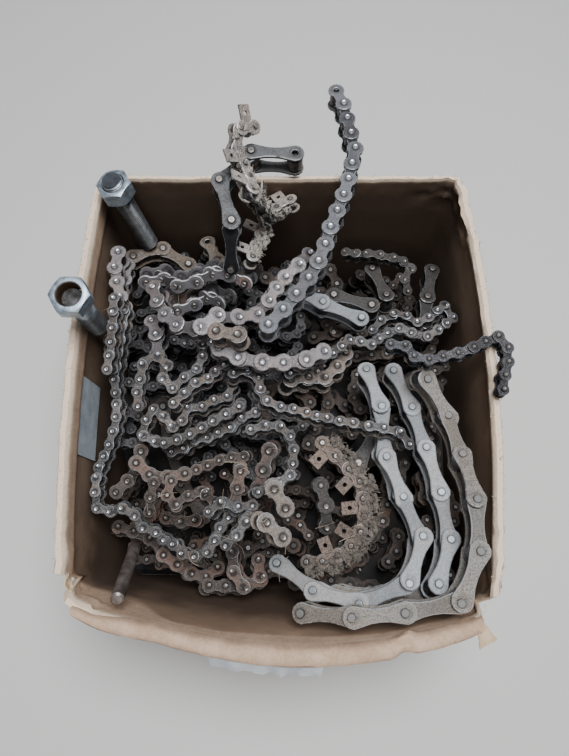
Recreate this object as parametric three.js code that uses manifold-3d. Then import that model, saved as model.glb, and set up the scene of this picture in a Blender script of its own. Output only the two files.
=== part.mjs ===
// A cardboard carton heaped with lengths of steel roller chain of several sizes, two studs with nuts and a loose pin.
// Millimetres, +Z up. The origin is the middle of the carton's bottom face; -Y is the side with the torn, folded flap.
import * as THREE from "three";
import { mergeVertices } from "three/addons/utils/BufferGeometryUtils.js";
import Module from "manifold-3d";

const wasm = await Module();
wasm.setup();

// Carton
const CARTON_HALF_X = 172;
const CARTON_HALF_Y = 187;
const CARTON_HEIGHT = 220;
const CARTON_CORNER = 14;
const BOARD = 5;
const RIGHT_BULGE = { out: 20, middle: 20, reach: 215 };
const LEFT_BULGE = { out: -15.8, middle: 15, reach: 235 };
const BACK_BULGE = 9;
const FRONT_LEAN = 10;
const FRONT_BOW = 38;
const FLAP_DROP = 62;
const FLAP_GAP = 1.5;
const FLAP_THICK = 4;
const FLAP_WEST = -128;
const FLAP_EAST = 158;
const CLEAR = 0.25;
const WALL_ROOM = 3;

// The heap is laid out as it is seen from one point above it: a place in the heap is where the line from that
// point meets the plane of the carton's rim, and how high above the carton's bottom it lies.
const EYE = new THREE.Vector3(5, -161, 695);
const RIM = CARTON_HEIGHT;

// Chains: pitch, half height of a plate, half height at its waist, width over the pin heads, width of an inner link
const KINDS = {
  small: { pitch: 12.7, plate: 5.7, waist: 0, width: 16.4, inner: 10 },
  medium: { pitch: 19.05, plate: 8.5, waist: 0, width: 23.6, inner: 15 },
  worn: { pitch: 15.875, plate: 7.3, waist: 0, width: 19.4, inner: 12 },
  big: { pitch: 41.4, plate: 8.8, waist: 5.6, width: 28, inner: 18 },
  long: { pitch: 34, plate: 9.4, waist: 5.4, width: 19, inner: 12 },
  tabbed: { pitch: 15.875, plate: 7, waist: 0, width: 16.5, inner: 10 },
};

// How high the hidden part of the heap reaches, in rows from the back to the front, columns from left to right
const LEVEL_X = [-200, -140, -80, -20, 40, 100, 160, 200];
const LEVEL_Y = [200, 140, 80, 20, -40, -100, -160, -250];
const LEVELS = [
  [118, 112, 104, 104, 84, 70, 64, 64],
  [128, 118, 112, 116, 100, 84, 84, 80],
  [140, 136, 146, 154, 130, 122, 130, 120],
  [148, 152, 162, 162, 134, 138, 146, 136],
  [150, 158, 170, 162, 130, 130, 160, 150],
  [96, 102, 108, 124, 126, 132, 160, 152],
  [72, 76, 82, 96, 110, 134, 158, 152],
  [66, 70, 76, 90, 104, 126, 150, 148],
];

// A mesh whose shared vertices are merged, as a solid
function solid(geometry) {
  const bare = geometry.clone();
  for (const name of Object.keys(bare.attributes)) if (name !== "position") bare.deleteAttribute(name);
  const merged = mergeVertices(bare, 1e-4);
  return new wasm.Manifold(
    new wasm.Mesh({
      numProp: 3,
      vertProperties: new Float32Array(merged.attributes.position.array),
      triVerts: new Uint32Array(merged.index.array),
    }),
  );
}

function geometryOf(body) {
  const mesh = body.getMesh();
  return new THREE.BufferGeometry()
    .setAttribute("position", new THREE.BufferAttribute(new Float32Array(mesh.vertProperties), 3))
    .setIndex(new THREE.BufferAttribute(new Uint32Array(mesh.triVerts), 1));
}

const heap = new THREE.Group();

function addNode(name, body, colour, roughness, metalness) {
  const material = new THREE.MeshStandardMaterial({ color: colour, roughness, metalness });
  const mesh = new THREE.Mesh(geometryOf(body), material);
  mesh.geometry.computeVertexNormals();
  mesh.name = name;
  heap.add(mesh);
}

// Carton: a tube of board that bulges, leans out at the front and is torn open at both front corners

// How far out a wall stands at a height: the load has pushed the walls out most near the rim
function spread(z) {
  return Math.min(1.1, Math.pow(Math.max(z, 0) / (0.82 * CARTON_HEIGHT), 0.8));
}

function frontShift(x, z) {
  const across = x / CARTON_HALF_X;
  const lean = FRONT_LEAN + 10 * across;
  return -(lean + FRONT_BOW * (1 - across * across)) * (z / CARTON_HEIGHT);
}

function sideShift(x, y, z) {
  const bulge = x > 0 ? RIGHT_BULGE : LEFT_BULGE;
  const along = (y - bulge.middle) / bulge.reach;
  return bulge.out * Math.max(0, 1 - along * along) * spread(z);
}

function bulged(geometry) {
  const p = geometry.attributes.position;
  for (let i = 0; i < p.count; i += 1) {
    const x = p.getX(i);
    const y = p.getY(i);
    const z = p.getZ(i);
    const dx = Math.abs(x / CARTON_HALF_X) * sideShift(x, y, z);
    const dy = y < 0 ? (-y / CARTON_HALF_Y) * frontShift(x, z) : (y / CARTON_HALF_Y) * BACK_BULGE * spread(z);
    p.setXYZ(i, x + dx, y + dy, z);
  }
  return geometry;
}

function boardShape(inset) {
  const a = CARTON_HALF_X - inset;
  const b = CARTON_HALF_Y - inset;
  const r = Math.max(2, CARTON_CORNER - inset);
  const points = [];
  const corners = [
    [a - r, b - r, 0],
    [-a + r, b - r, 90],
    [-a + r, -b + r, 180],
    [a - r, -b + r, 270],
  ];
  for (let side = 0; side < 4; side += 1) {
    const [cx, cy, start] = corners[side];
    for (const turn of [0, 45, 90]) {
      const angle = THREE.MathUtils.degToRad(start + turn);
      points.push(new THREE.Vector2(cx + r * Math.cos(angle), cy + r * Math.sin(angle)));
    }
    const [nx, ny, next] = corners[(side + 1) % 4];
    const from = points[points.length - 1];
    const angle = THREE.MathUtils.degToRad(next);
    const to = new THREE.Vector2(nx + r * Math.cos(angle), ny + r * Math.sin(angle));
    for (const part of [0.2, 0.4, 0.6, 0.8]) points.push(from.clone().lerp(to, part));
  }
  return new THREE.Shape(points);
}

function boardPrism(inset, low, high, steps = 4) {
  const prism = new THREE.ExtrudeGeometry(boardShape(inset), { depth: high - low, steps, bevelEnabled: false });
  prism.translate(0, 0, low);
  return solid(bulged(prism));
}

function block(x0, x1, y0, y1, z0, z1) {
  const box = new THREE.BoxGeometry(x1 - x0, y1 - y0, z1 - z0);
  box.translate((x0 + x1) / 2, (y0 + y1) / 2, (z0 + z1) / 2);
  return solid(box);
}

// A tear that opens upwards along a corner
function tear(x, y, turn, width, low) {
  const wedge = new THREE.Shape([
    new THREE.Vector2(0, low),
    new THREE.Vector2(width, CARTON_HEIGHT + 30),
    new THREE.Vector2(-width, CARTON_HEIGHT + 30),
  ]);
  const cut = new THREE.ExtrudeGeometry(wedge, { depth: 60, bevelEnabled: false });
  cut.translate(0, 0, -30);
  cut.rotateX(Math.PI / 2);
  cut.rotateZ(THREE.MathUtils.degToRad(turn));
  cut.translate(x, y, 0);
  return solid(cut);
}

function carton() {
  const inside = boardPrism(BOARD, BOARD, CARTON_HEIGHT + 20, 5);
  const walls = boardPrism(0, 0, CARTON_HEIGHT).subtract(inside);
  const flapFront = block(FLAP_WEST, FLAP_EAST, -400, -120, CARTON_HEIGHT - FLAP_DROP, CARTON_HEIGHT + FLAP_THICK);
  const flap = boardPrism(-FLAP_THICK - FLAP_GAP, CARTON_HEIGHT - FLAP_DROP, CARTON_HEIGHT + FLAP_THICK, 2)
    .intersect(flapFront)
    .subtract(boardPrism(-FLAP_GAP, 0, CARTON_HEIGHT))
    .subtract(inside);
  return walls
    .add(flap)
    .subtract(tear(-CARTON_HALF_X + 3, -CARTON_HALF_Y - 4, -40, 20, 120))
    .subtract(tear(CARTON_HALF_X - 2, -CARTON_HALF_Y - 12, 50, 24, 100));
}

// Laying out the heap

function place(seen, z) {
  const scale = (EYE.z - z) / (EYE.z - RIM);
  return new THREE.Vector3(EYE.x + (seen.x - EYE.x) * scale, EYE.y + (seen.y - EYE.y) * scale, z);
}

// Height of the hidden heap at a place, flat over each triangle of the table
function hiddenLevel(x, y) {
  let i = 0;
  while (i < LEVEL_X.length - 2 && x > LEVEL_X[i + 1]) i += 1;
  let j = 0;
  while (j < LEVEL_Y.length - 2 && y < LEVEL_Y[j + 1]) j += 1;
  const u = (x - LEVEL_X[i]) / (LEVEL_X[i + 1] - LEVEL_X[i]);
  const v = (y - LEVEL_Y[j]) / (LEVEL_Y[j + 1] - LEVEL_Y[j]);
  const a = LEVELS[j][i];
  const b = LEVELS[j][i + 1];
  const c = LEVELS[j + 1][i];
  const d = LEVELS[j + 1][i + 1];
  return Math.max(a + u * (b - a) + v * (c - a), d + (1 - u) * (c - d) + (1 - v) * (b - d));
}

// A map of how high the heap reaches at each place
const CELL = 1.25;
const STAMP_GROW = 1.6;
const MAP_WEST = -260;
const MAP_SOUTH = -300;
const MAP_COLUMNS = 416;
const MAP_ROWS = 512;
const map = new Float64Array(MAP_COLUMNS * MAP_ROWS);

function overCells(x0, x1, y0, y1, visit) {
  const i0 = Math.max(0, Math.ceil((x0 - MAP_WEST) / CELL));
  const i1 = Math.min(MAP_COLUMNS - 1, Math.floor((x1 - MAP_WEST) / CELL));
  const j0 = Math.max(0, Math.ceil((y0 - MAP_SOUTH) / CELL));
  const j1 = Math.min(MAP_ROWS - 1, Math.floor((y1 - MAP_SOUTH) / CELL));
  for (let j = j0; j <= j1; j += 1) {
    for (let i = i0; i <= i1; i += 1) visit(MAP_WEST + i * CELL, MAP_SOUTH + j * CELL, j * MAP_COLUMNS + i);
  }
}

function overDisc(x, y, radius, visit) {
  overCells(x - radius, x + radius, y - radius, y + radius, (cx, cy, cell) => {
    if ((cx - x) ** 2 + (cy - y) ** 2 <= radius * radius) visit(cell);
  });
}

// Highest point of the heap under a disc
function support(x, y, radius) {
  let high = 0;
  overDisc(x, y, radius, (cell) => {
    high = Math.max(high, map[cell]);
  });
  return high;
}

// Cells under a block's outline at one of its faces, with that face's height there
function overFace(block, level, grow, visit) {
  const face = (block.cover || block.outline).map((q) => new THREE.Vector3(q.x, q.y, level).applyMatrix4(block.basis));
  const up = new THREE.Vector3().setFromMatrixColumn(block.basis, 2);
  const xs = face.map((q) => q.x);
  const ys = face.map((q) => q.y);
  const box = [Math.min(...xs) - grow, Math.max(...xs) + grow, Math.min(...ys) - grow, Math.max(...ys) + grow];
  overCells(...box, (x, y, cell) => {
    for (let k = 0; k < face.length; k += 1) {
      const from = face[k];
      const to = face[(k + 1) % face.length];
      const dx = to.x - from.x;
      const dy = to.y - from.y;
      if (dx * (y - from.y) - dy * (x - from.x) < -grow * Math.hypot(dx, dy)) return;
    }
    visit(cell, face[0].z - (up.x * (x - face[0].x) + up.y * (y - face[0].y)) / up.z);
  });
}

// Each block is read as a few slices, because the slices of a sloping block don't lie under each other
function slices(block) {
  return [0, 0.25, 0.5, 0.75, 1].map((part) => block.low + part * (block.high - block.low));
}

// How far a set of blocks has to rise, or may sink when negative, to rest on the heap
function shortfall(blocks) {
  let most = -Infinity;
  for (const block of blocks) {
    for (const level of slices(block)) {
      overFace(block, level, 0.3, (cell, height) => {
        most = Math.max(most, map[cell] + CLEAR - height);
      });
    }
  }
  return most;
}

function stamp(blocks) {
  for (const block of blocks) {
    for (const level of slices(block)) {
      overFace(block, level, STAMP_GROW, (cell, height) => {
        map[cell] = Math.max(map[cell], height);
      });
    }
  }
}

// Inner face of the side walls at a place
function wallReach(y, z, sign) {
  return CARTON_HALF_X - BOARD + Math.abs(sideShift(sign, y, z));
}

function keepInside(point, radius, half) {
  const low = point.z - half;
  if (low > RIM) return point;
  const sign = Math.sign(point.x) || 1;
  const room = radius + WALL_ROOM;
  const limit = wallReach(point.y, low, sign) - room;
  if (Math.abs(point.x) > limit) point.x = sign * limit;
  const depth = CARTON_HALF_Y - BOARD;
  const front = -depth + (depth / CARTON_HALF_Y) * frontShift(point.x, low) + room;
  const back = depth + (depth / CARTON_HALF_Y) * BACK_BULGE * spread(low) - room;
  point.y = Math.min(back, Math.max(front, point.y));
  return point;
}

function layGround() {
  const west = MAP_WEST;
  const south = MAP_SOUTH;
  overCells(west, -west, south, -south, (x, y, cell) => {
    const reach = wallReach(y, RIM, Math.sign(x) || 1);
    const inside = Math.abs(x) < reach && y < CARTON_HALF_Y + BACK_BULGE - BOARD && y > -CARTON_HALF_Y - 60;
    map[cell] = inside ? hiddenLevel(x, y) : 0;
  });
  // The rim of the walls, which some lengths lie across
  const rim = boardShape(BOARD / 2).getPoints();
  const outline = new THREE.BufferGeometry().setFromPoints(rim.map((p) => new THREE.Vector3(p.x, p.y, RIM)));
  const q = bulged(outline).attributes.position;
  for (let k = 0; k < q.count; k += 1) {
    const m = (k + 1) % q.count;
    for (let part = 0; part < 1; part += 0.02) {
      const x = q.getX(k) + part * (q.getX(m) - q.getX(k));
      const y = q.getY(k) + part * (q.getY(m) - q.getY(k));
      overDisc(x, y, BOARD / 2 + 1, (cell) => {
        map[cell] = Math.max(map[cell], RIM);
      });
    }
  }
}

// Points along a route, each about a step on from the last
function samples(route, step) {
  const list = [];
  for (let k = 0; k < route.length - 1; k += 1) {
    const a = new THREE.Vector2(...route[k]);
    const b = new THREE.Vector2(...route[k + 1]);
    const count = Math.max(1, Math.round(a.distanceTo(b) / step));
    for (let m = 0; m < count; m += 1) list.push(a.clone().lerp(b, m / count));
  }
  list.push(new THREE.Vector2(...route[route.length - 1]));
  return list;
}

// Pins of a length of chain that has been let down on the heap along its route. Its height is found by starting
// from a guess, because a lower place is also seen further out. The map is a little wider than the chains on it,
// so a length may be seated a little deeper than the map says.
function settle(strand, kind) {
  const flat = !strand.onEdge;
  const half = flat ? kind.width / 2 : kind.plate;
  const radius = flat ? kind.plate : kind.width / 2;
  const list = samples(strand.route, kind.pitch / 3);
  const rest = (p) => support(p.x, p.y, radius) + half + CLEAR;
  const within = (p) => (strand.overRim ? p : keepInside(p, radius, half));
  const z = list.map((q) => {
    let height = strand.from || (strand.overRim ? RIM + half : RIM);
    for (let round = 0; round < 4; round += 1) height = rest(within(place(q, height)));
    return height;
  });
  const slope = strand.slope || 0.4;
  for (let k = 1; k < z.length; k += 1) {
    z[k] = Math.max(z[k], z[k - 1] - slope * list[k].distanceTo(list[k - 1]));
  }
  for (let k = z.length - 2; k >= 0; k -= 1) {
    z[k] = Math.max(z[k], z[k + 1] - slope * list[k].distanceTo(list[k + 1]));
  }
  const pins = walk(list.map((q, k) => within(place(q, z[k]))), kind.pitch);
  // A link that would cut through a bump lifts both of its pins
  for (let round = 0; round < 4; round += 1) {
    for (let k = 0; k < pins.length - 1; k += 1) {
      const lift = Math.max(0, shortfall(linkBlocks(pins, kind, strand, k)));
      pins[k].z += lift;
      pins[k + 1].z += lift;
    }
  }
  const sink = shortfall(chainBlocks(pins, kind, strand)) - (strand.seat || 0);
  for (const pin of pins) pin.z += sink;
  stamp(chainBlocks(pins, kind, strand));
  return pins;
}

// Pins one pitch apart along a line of points
function walk(points, pitch) {
  const pins = [points[0].clone()];
  let last = points[0];
  for (let k = 0; k < points.length - 1; k += 1) {
    const a = points[k];
    const b = points[k + 1];
    for (;;) {
      // The place between a and b that lies one pitch from the last pin
      const d = b.clone().sub(a);
      const f = a.clone().sub(last);
      const qa = d.dot(d);
      const qb = 2 * f.dot(d);
      const qc = f.dot(f) - pitch * pitch;
      const root = qb * qb - 4 * qa * qc;
      if (root < 0) break;
      const t = (-qb + Math.sqrt(root)) / (2 * qa);
      if (t < 0 || t > 1) break;
      const pin = a.clone().addScaledVector(d, t);
      if (pin.distanceTo(last) < 0.5 * pitch) break;
      pins.push(pin);
      last = pin;
    }
  }
  return pins;
}

// Outline of a link's plates, filled over its width
function plateOutline(length, kind, waist) {
  const half = length / 2;
  const steps = kind.waist ? [-90, -45, 0, 45, 90] : [-60, 0, 60];
  const reach = kind.waist ? kind.plate : kind.plate * 1.06;
  const points = [];
  for (const sign of [1, -1]) {
    for (const angle of steps) {
      const turn = THREE.MathUtils.degToRad(angle);
      points.push(new THREE.Vector2(sign * (half + reach * Math.cos(turn)), sign * reach * Math.sin(turn)));
    }
    if (waist) points.push(new THREE.Vector2(0, sign * waist));
  }
  return points;
}

function rectangle(x0, x1, y0, y1) {
  return [new THREE.Vector2(x0, y0), new THREE.Vector2(x1, y0), new THREE.Vector2(x1, y1), new THREE.Vector2(x0, y1)];
}

function linkBasis(a, b) {
  const along = b.clone().sub(a).normalize();
  const side = new THREE.Vector3(0, 0, 1).cross(along).normalize();
  const up = along.clone().cross(side);
  return new THREE.Matrix4().makeBasis(along, side, up).setPosition(a.clone().add(b).multiplyScalar(0.5));
}

// A bent plate with a hole that stands off the side of a tabbed link
const TAB_LENGTH = 15;
const TAB_WIDTH = 12;
const TAB_THICK = 2.4;

// The blocks that make link k: outer links are wide plates, the links between them are narrower bars
function linkBlocks(pins, kind, strand, k) {
  const a = pins[k];
  const b = pins[k + 1];
  const basis = linkBasis(a, b);
  const length = a.distanceTo(b);
  const outer = k % 2 === 0;
  const half = (outer ? kind.width : kind.inner) / 2;
  const high = kind.waist || 0.85 * kind.plate;
  if (strand.onEdge) {
    const tall = outer ? 0.92 * kind.plate : high;
    const reach = length / 2 + (outer ? 0.8 * kind.plate : 0);
    return [{ basis, outline: rectangle(-reach, reach, -half, half), low: -tall, high: tall }];
  }
  const bar = rectangle(-length / 2, length / 2, -high, high);
  const outline = outer ? plateOutline(length, kind, kind.waist) : bar;
  const cover = outer ? plateOutline(length, kind, 0) : bar;
  const blocks = [{ basis, outline, cover, low: -half, high: half }];
  if (outer && strand.tabs) {
    const from = kind.plate - 2;
    const to = from + TAB_LENGTH;
    const sides = strand.tabs > 0 ? [from, to] : [-to, -from];
    const tab = rectangle(-TAB_WIDTH / 2, TAB_WIDTH / 2, ...sides);
    blocks.push({ basis, outline: tab, low: half - 2 * TAB_THICK, high: half - TAB_THICK });
  }
  return blocks;
}

function chainBlocks(pins, kind, strand) {
  const blocks = [];
  for (let k = 0; k < pins.length - 1; k += 1) blocks.push(...linkBlocks(pins, kind, strand, k));
  return blocks;
}

function chain(pins, kind, strand) {
  const links = chainBlocks(pins, kind, strand).map((part) => {
    const depth = part.high - part.low;
    const plate = new THREE.ExtrudeGeometry(new THREE.Shape(part.outline), { depth, bevelEnabled: false });
    plate.translate(0, 0, part.low);
    plate.applyMatrix4(part.basis);
    return solid(plate);
  });
  return wasm.Manifold.union(links);
}

// Lengths of chain from the bottom of the heap up, each with the places where it is seen
const STRANDS = [
  { name: "chain_big_dark", kind: "big", tone: 0x4a4744, route: [[97.5, 60], [85, 82], [92, 112]] },
  { name: "chain_big_right", kind: "big", tone: 0x4a4744, route: [[146, 86], [130, 52], [128, 20]] },
  { name: "chain_long_left", kind: "long", tone: 0x7a7066, seat: 3, route: [[-146, 104], [-122, 121], [-101, 107], [-76, 92]] },
  { name: "chain_long_back", kind: "long", tone: 0x746a60, route: [[-66, 126], [-58, 104], [-53, 84]] },
  {
    name: "chain_small_right_back", kind: "small", tone: 0x40362e,
    route: [[63.5, 108], [76.5, 105.5], [88, 104], [99.7, 103.4], [110.5, 102], [122, 92.5], [116, 82.6], [117.5, 66]],
  },
  {
    name: "chain_medium_wall", kind: "medium", tone: 0x8a8682,
    route: [[-165, 91], [-159, 76], [-155, 60], [-152, 41], [-154, 23], [-152, 5]],
  },
  {
    name: "chain_medium_low_edge", kind: "medium", tone: 0x8e8a86, onEdge: true,
    route: [[-93.5, 56], [-81, 60], [-67.5, 68], [-55, 67], [-44, 58]],
  },
  {
    name: "chain_medium_on_edge", kind: "medium", tone: 0x96928e, onEdge: true,
    route: [[-122.5, 84], [-104, 87.5], [-95, 80], [-84, 81], [-71.5, 86], [-57, 94.5], [-47.5, 94], [-38.5, 86],
      [-24, 80]],
  },
  { name: "chain_big_lowest", kind: "big", tone: 0x6a6662, route: [[48, -208], [88, -203], [120, -190]] },
  { name: "chain_big_under", kind: "big", tone: 0x4a4744, route: [[66, -88], [90, -48]] },
  { name: "chain_big_shadow", kind: "big", tone: 0x4a4744, route: [[50, 62], [90, 50]] },
  { name: "chain_medium_inside", kind: "medium", tone: 0x6c6a68, route: [[34, -106], [38.5, -124], [38.5, -143]] },
  {
    name: "chain_big_inner", kind: "big", from: 170, tone: 0xa2a4a6,
    route: [[76, -12], [88, -47], [88, -84.5], [102, -120], [115.5, -155], [97, -187.5], [62, -197], [26, -187],
      [1, -168]],
  },
  {
    name: "chain_big_middle", kind: "big", from: 170, tone: 0xa0a19f,
    route: [[99, -11], [114, -46], [123, -82], [133, -121.5], [136, -158], [119, -191]],
  },
  {
    name: "chain_big_outer", kind: "big", from: 170, tone: 0x98938e,
    route: [[123, -17], [139, -49], [147, -87], [155, -123.5], [156, -163], [138, -199], [102, -217],
      [64, -218.5], [25, -215], [0, -190]],
  },
  { name: "chain_big_crossing", kind: "big", tone: 0x86817a, route: [[6, 69], [41, 54.5], [78, 38]] },
  {
    name: "chain_small_floor", kind: "small", tone: 0x3c3f46,
    route: [[-77.7, -97.7], [-80, -87], [-71, -93], [-61.6, -92.5], [-53.8, -85.2], [-43.4, -83.8], [-32.6, -81],
      [-21.4, -82.4]],
  },
  {
    name: "chain_worn_left", kind: "worn", tone: 0x5a4a40,
    route: [[-139.5, -140.5], [-124, -142.5], [-110, -145], [-97, -152], [-85, -165]],
  },
  { name: "chain_worn_middle", kind: "worn", tone: 0x5c4c3e, route: [[-115, -76], [-116, -92], [-122, -100], [-134, -113]] },
  {
    name: "chain_worn_front", kind: "worn", tone: 0x5a4c44,
    route: [[-90, -133], [-79, -136], [-67.7, -134], [-57.2, -135.6]],
  },
  {
    name: "chain_worn_valley", kind: "worn", tone: 0x4a3e38,
    route: [[-92, -161], [-76, -171], [-62, -180], [-50, -173], [-38, -164]],
  },
  { name: "chain_worn_lowest", kind: "worn", tone: 0x4a3e38, route: [[-56, -192], [-38, -195], [-18, -191]] },
  { name: "chain_worn_rusty", kind: "worn", tone: 0x6a4a3c, route: [[-118, -88], [-106, -98], [-93, -101], [-78, -98]] },
  { name: "chain_worn_upright", kind: "worn", tone: 0x4c4540, route: [[-32, -92], [-34, -104], [-36, -120]] },
  {
    name: "chain_worn_loop", kind: "worn", tone: 0x6b625e,
    route: [[-35.3, -148], [-35.3, -164], [-33.8, -177.7], [-22.7, -186.7], [-10.7, -175.5], [-20, -162]],
  },
  {
    name: "chain_medium_corner", kind: "medium", tone: 0x8a8682,
    route: [[-161, 105], [-153.5, 90], [-147.5, 76], [-143, 61], [-140, 46]],
  },
  {
    name: "chain_small_edge", kind: "small", tone: 0x42464e,
    route: [[-142.5, 57], [-135, 44.7], [-139.6, 33.7], [-138.4, 20.4], [-140, 8.2], [-140, -4.5], [-141.6, -16.4],
      [-138, -29], [-136.7, -41.5], [-136.3, -53.5], [-139, -64.7], [-140.5, -76.4], [-145.4, -85.2],
      [-151.7, -92.5], [-158.2, -98.8], [-160, -109.3], [-157.5, -119.4], [-152, -129.4], [-142.2, -128],
      [-132.8, -125.8], [-123.4, -122.8], [-115, -129.8], [-109.3, -139], [-99, -141.8], [-90.7, -148.6],
      [-81.5, -152.8], [-73, -160.6], [-62, -161.2], [-52.7, -154.8], [-48.3, -142], [-43.3, -133.3], [-35, -126.4]],
  },
  {
    name: "chain_small_corner", kind: "small", tone: 0x42464e,
    route: [[-148, 60], [-148, 49], [-147.3, 36.3], [-147.3, 22.8], [-147.4, 9.4], [-148.6, -13.7]],
  },
  {
    name: "chain_small_brown", kind: "small", tone: 0x55483c,
    route: [[-102.3, -102.8], [-104.5, -112.7], [-105.4, -124.4], [-99.3, -134]],
  },
  { name: "chain_medium_brown", kind: "medium", tone: 0x6a5c52, route: [[-6, -76], [-12, -96], [-18, -116]] },
  {
    name: "chain_small_hook", kind: "small", tone: 0x50463e,
    route: [[-92.4, -100], [-95.4, -111.3], [-96, -122.4], [-86, -121.4], [-78, -115], [-68.3, -112], [-58.5, -105.6],
      [-57.6, -117.8]],
  },
  {
    name: "chain_small_low", kind: "small", tone: 0x444850,
    route: [[-86.7, -79], [-76, -75.4], [-68, -68.2], [-57.3, -67.2], [-48, -62], [-37, -57.2], [-28.6, -47.7],
      [-17.5, -45.5]],
  },
  {
    name: "chain_small_ring", kind: "small", tone: 0x4a4e56,
    route: [[-23.8, -58.4], [-12.3, -54.7], [-0.3, -54.3], [8.5, -63], [13, -75], [11.3, -86.6], [9.2, -98.4],
      [-2, -103.5], [-12.7, -108.3], [-23, -112.4]],
  },
  {
    name: "chain_small_knot", kind: "small", tone: 0x4a4e56,
    route: [[-39, -22], [-44, -33], [-55, -35.5], [-66.2, -42], [-78.4, -41.5], [-80.3, -53.5], [-91, -59.3],
      [-98.2, -48.8], [-108.8, -41.5], [-111, -53], [-114.7, -65], [-103.4, -69], [-90.4, -70.8], [-79.5, -65.4],
      [-68.5, -60], [-58.4, -54], [-48.6, -47], [-37, -43], [-28.4, -33.3]],
  },
  {
    name: "chain_small_second", kind: "small", tone: 0x4a4e56,
    route: [[-66, 24], [-67, 10], [-66, -4], [-76, -9], [-85, -18], [-93, -27]],
  },
  {
    name: "chain_small_turn", kind: "small", tone: 0x4a4e56,
    route: [[-59, 21], [-54.4, 8.8], [-46, -1.8], [-55, -9.8], [-63.3, -17.5], [-74.4, -21], [-81, -30],
      [-89.4, -38.2]],
  },
  {
    name: "chain_small_left", kind: "small", tone: 0x4a4e56,
    route: [[-125, -32], [-127, -20], [-124.6, -8.7], [-123.5, 4.5], [-124, 17], [-111.3, 13.8], [-103, 5.6],
      [-105.3, -7.6], [-96.8, -16], [-89.6, -26]],
  },
  {
    name: "chain_small_diagonal", kind: "small", tone: 0x4c4f56,
    route: [[-39.5, -12.5], [-31.7, -10.2], [-20.2, -6.8], [-17.7, -20.2], [-16, -33], [-5.3, -40.4], [6.2, -42.5],
      [17.6, -44.7], [28.3, -49], [39.4, -51], [49.7, -54], [61.4, -55.4], [72, -58], [83.3, -59.4], [94, -61.2],
      [104.3, -63.6], [107, -74.7]],
  },
  {
    name: "chain_small_front", kind: "small", tone: 0x4a4e56,
    route: [[-54, -128], [-45, -121], [-34, -125], [-22, -124], [-27, -134], [-34, -145], [-43, -153]],
  },
  { name: "chain_medium_left", kind: "medium", tone: 0x8a8682, route: [[-129.5, 65], [-122, 44], [-124, 26]] },
  {
    name: "chain_medium_dusty", kind: "medium", tone: 0x7d746c,
    route: [[7.7, -19], [25.5, -16], [44, -18], [54, -0.6], [62, 11]],
  },
  {
    name: "chain_medium_curl", kind: "medium", tone: 0x6f6a66,
    route: [[-4, -108], [8.5, -128.5]],
  },
  { name: "chain_medium_curl_low", kind: "medium", tone: 0x6f6a66, route: [[-13, -135], [6.5, -151.5]] },
  {
    name: "chain_small_loop", kind: "small", tone: 0x565b64,
    route: [[86, 31], [94.5, 40.6], [106, 44.7], [117, 41.4], [126.4, 34], [136, 42], [146, 50], [155.7, 57.4],
      [160, 45.5], [150.5, 39], [140.6, 31.3], [131.3, 24.5], [121.5, 26.8], [111.5, 32.5], [101, 31.3],
      [90.6, 24.8], [80, 17.6], [70, 21], [58.6, 21], [50.5, 11.4], [40, 5.5], [29, 1], [18.5, -5.6], [7.8, -9.8],
      [-3.2, -14.5]],
  },
  {
    name: "chain_small_over_rim", kind: "small", tone: 0x2e3036, slope: 0.2, overRim: true,
    route: [[100, 16], [112.5, 14.5], [118.6, 4.5], [129, 1], [139.3, 4.9], [151, 5.6], [162, 10], [173.4, 14.2],
      [184.6, 20], [196.6, 24.8], [201, 15], [201.5, 3.7], [197, -7], [194.5, -18], [192.5, -28]],
  },
  {
    name: "chain_medium_cross", kind: "medium", tone: 0x8c8884,
    route: [[-50, 13], [-38.5, 6.3], [-21.5, 0.5], [-2.2, 0], [17, 0], [32, 8], [45, 12]],
  },
  { name: "chain_medium_under", kind: "medium", tone: 0x77706a, route: [[-54, 27], [-36, 24], [-17, 19]] },
  {
    name: "chain_medium_top", kind: "medium", tone: 0x9a9794,
    route: [[-111, 69], [-105.5, 52], [-92, 36.5], [-74, 27.5], [-61, 42.5], [-41, 42.5], [-21.6, 44.7],
      [-9.7, 58.6], [-1.5, 76], [11.5, 89], [22.4, 100.7], [30, 112]],
  },
  {
    name: "chain_tabbed_back", kind: "tabbed", tone: 0x9a8c7c, tabs: 1,
    route: [[-26, 102], [-22, 118], [-16, 133], [-12, 146]],
  },
  {
    name: "chain_big_back", kind: "big", tone: 0x53575c, slope: 0.12, overRim: true,
    route: [[15.3, 212.5], [-22, 215], [-62, 214], [-55, 170], [-42, 130]],
  },
  {
    name: "chain_tabbed_top", kind: "tabbed", tone: 0xa89a88, tabs: 1, slope: 0.2, seat: 0.5, overRim: true,
    route: [[-30, 176], [-33, 192], [-40, 208], [-46, 224], [-38, 238], [-24, 240]],
  },
  {
    name: "chain_medium_riser", kind: "medium", tone: 0x9c9a98, slope: 0.08, overRim: true,
    route: [[58, 290], [64, 280], [67, 262], [70, 242], [75, 222], [72, 210], [68, 190], [63, 172], [57, 155],
      [50, 138], [45.6, 125], [41, 107], [32.5, 88], [22.4, 72], [9.8, 55.8], [-2.8, 39.4], [-17, 25.6],
      [-20, 22]],
  },
  {
    name: "chain_tabbed_straw", kind: "tabbed", tone: 0x8c7c68, tabs: -1,
    route: [[38, -67], [53, -82], [68, -98], [72, -116], [72, -134], [66, -148], [52, -160], [36, -166], [20, -166]],
  },
];

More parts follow.
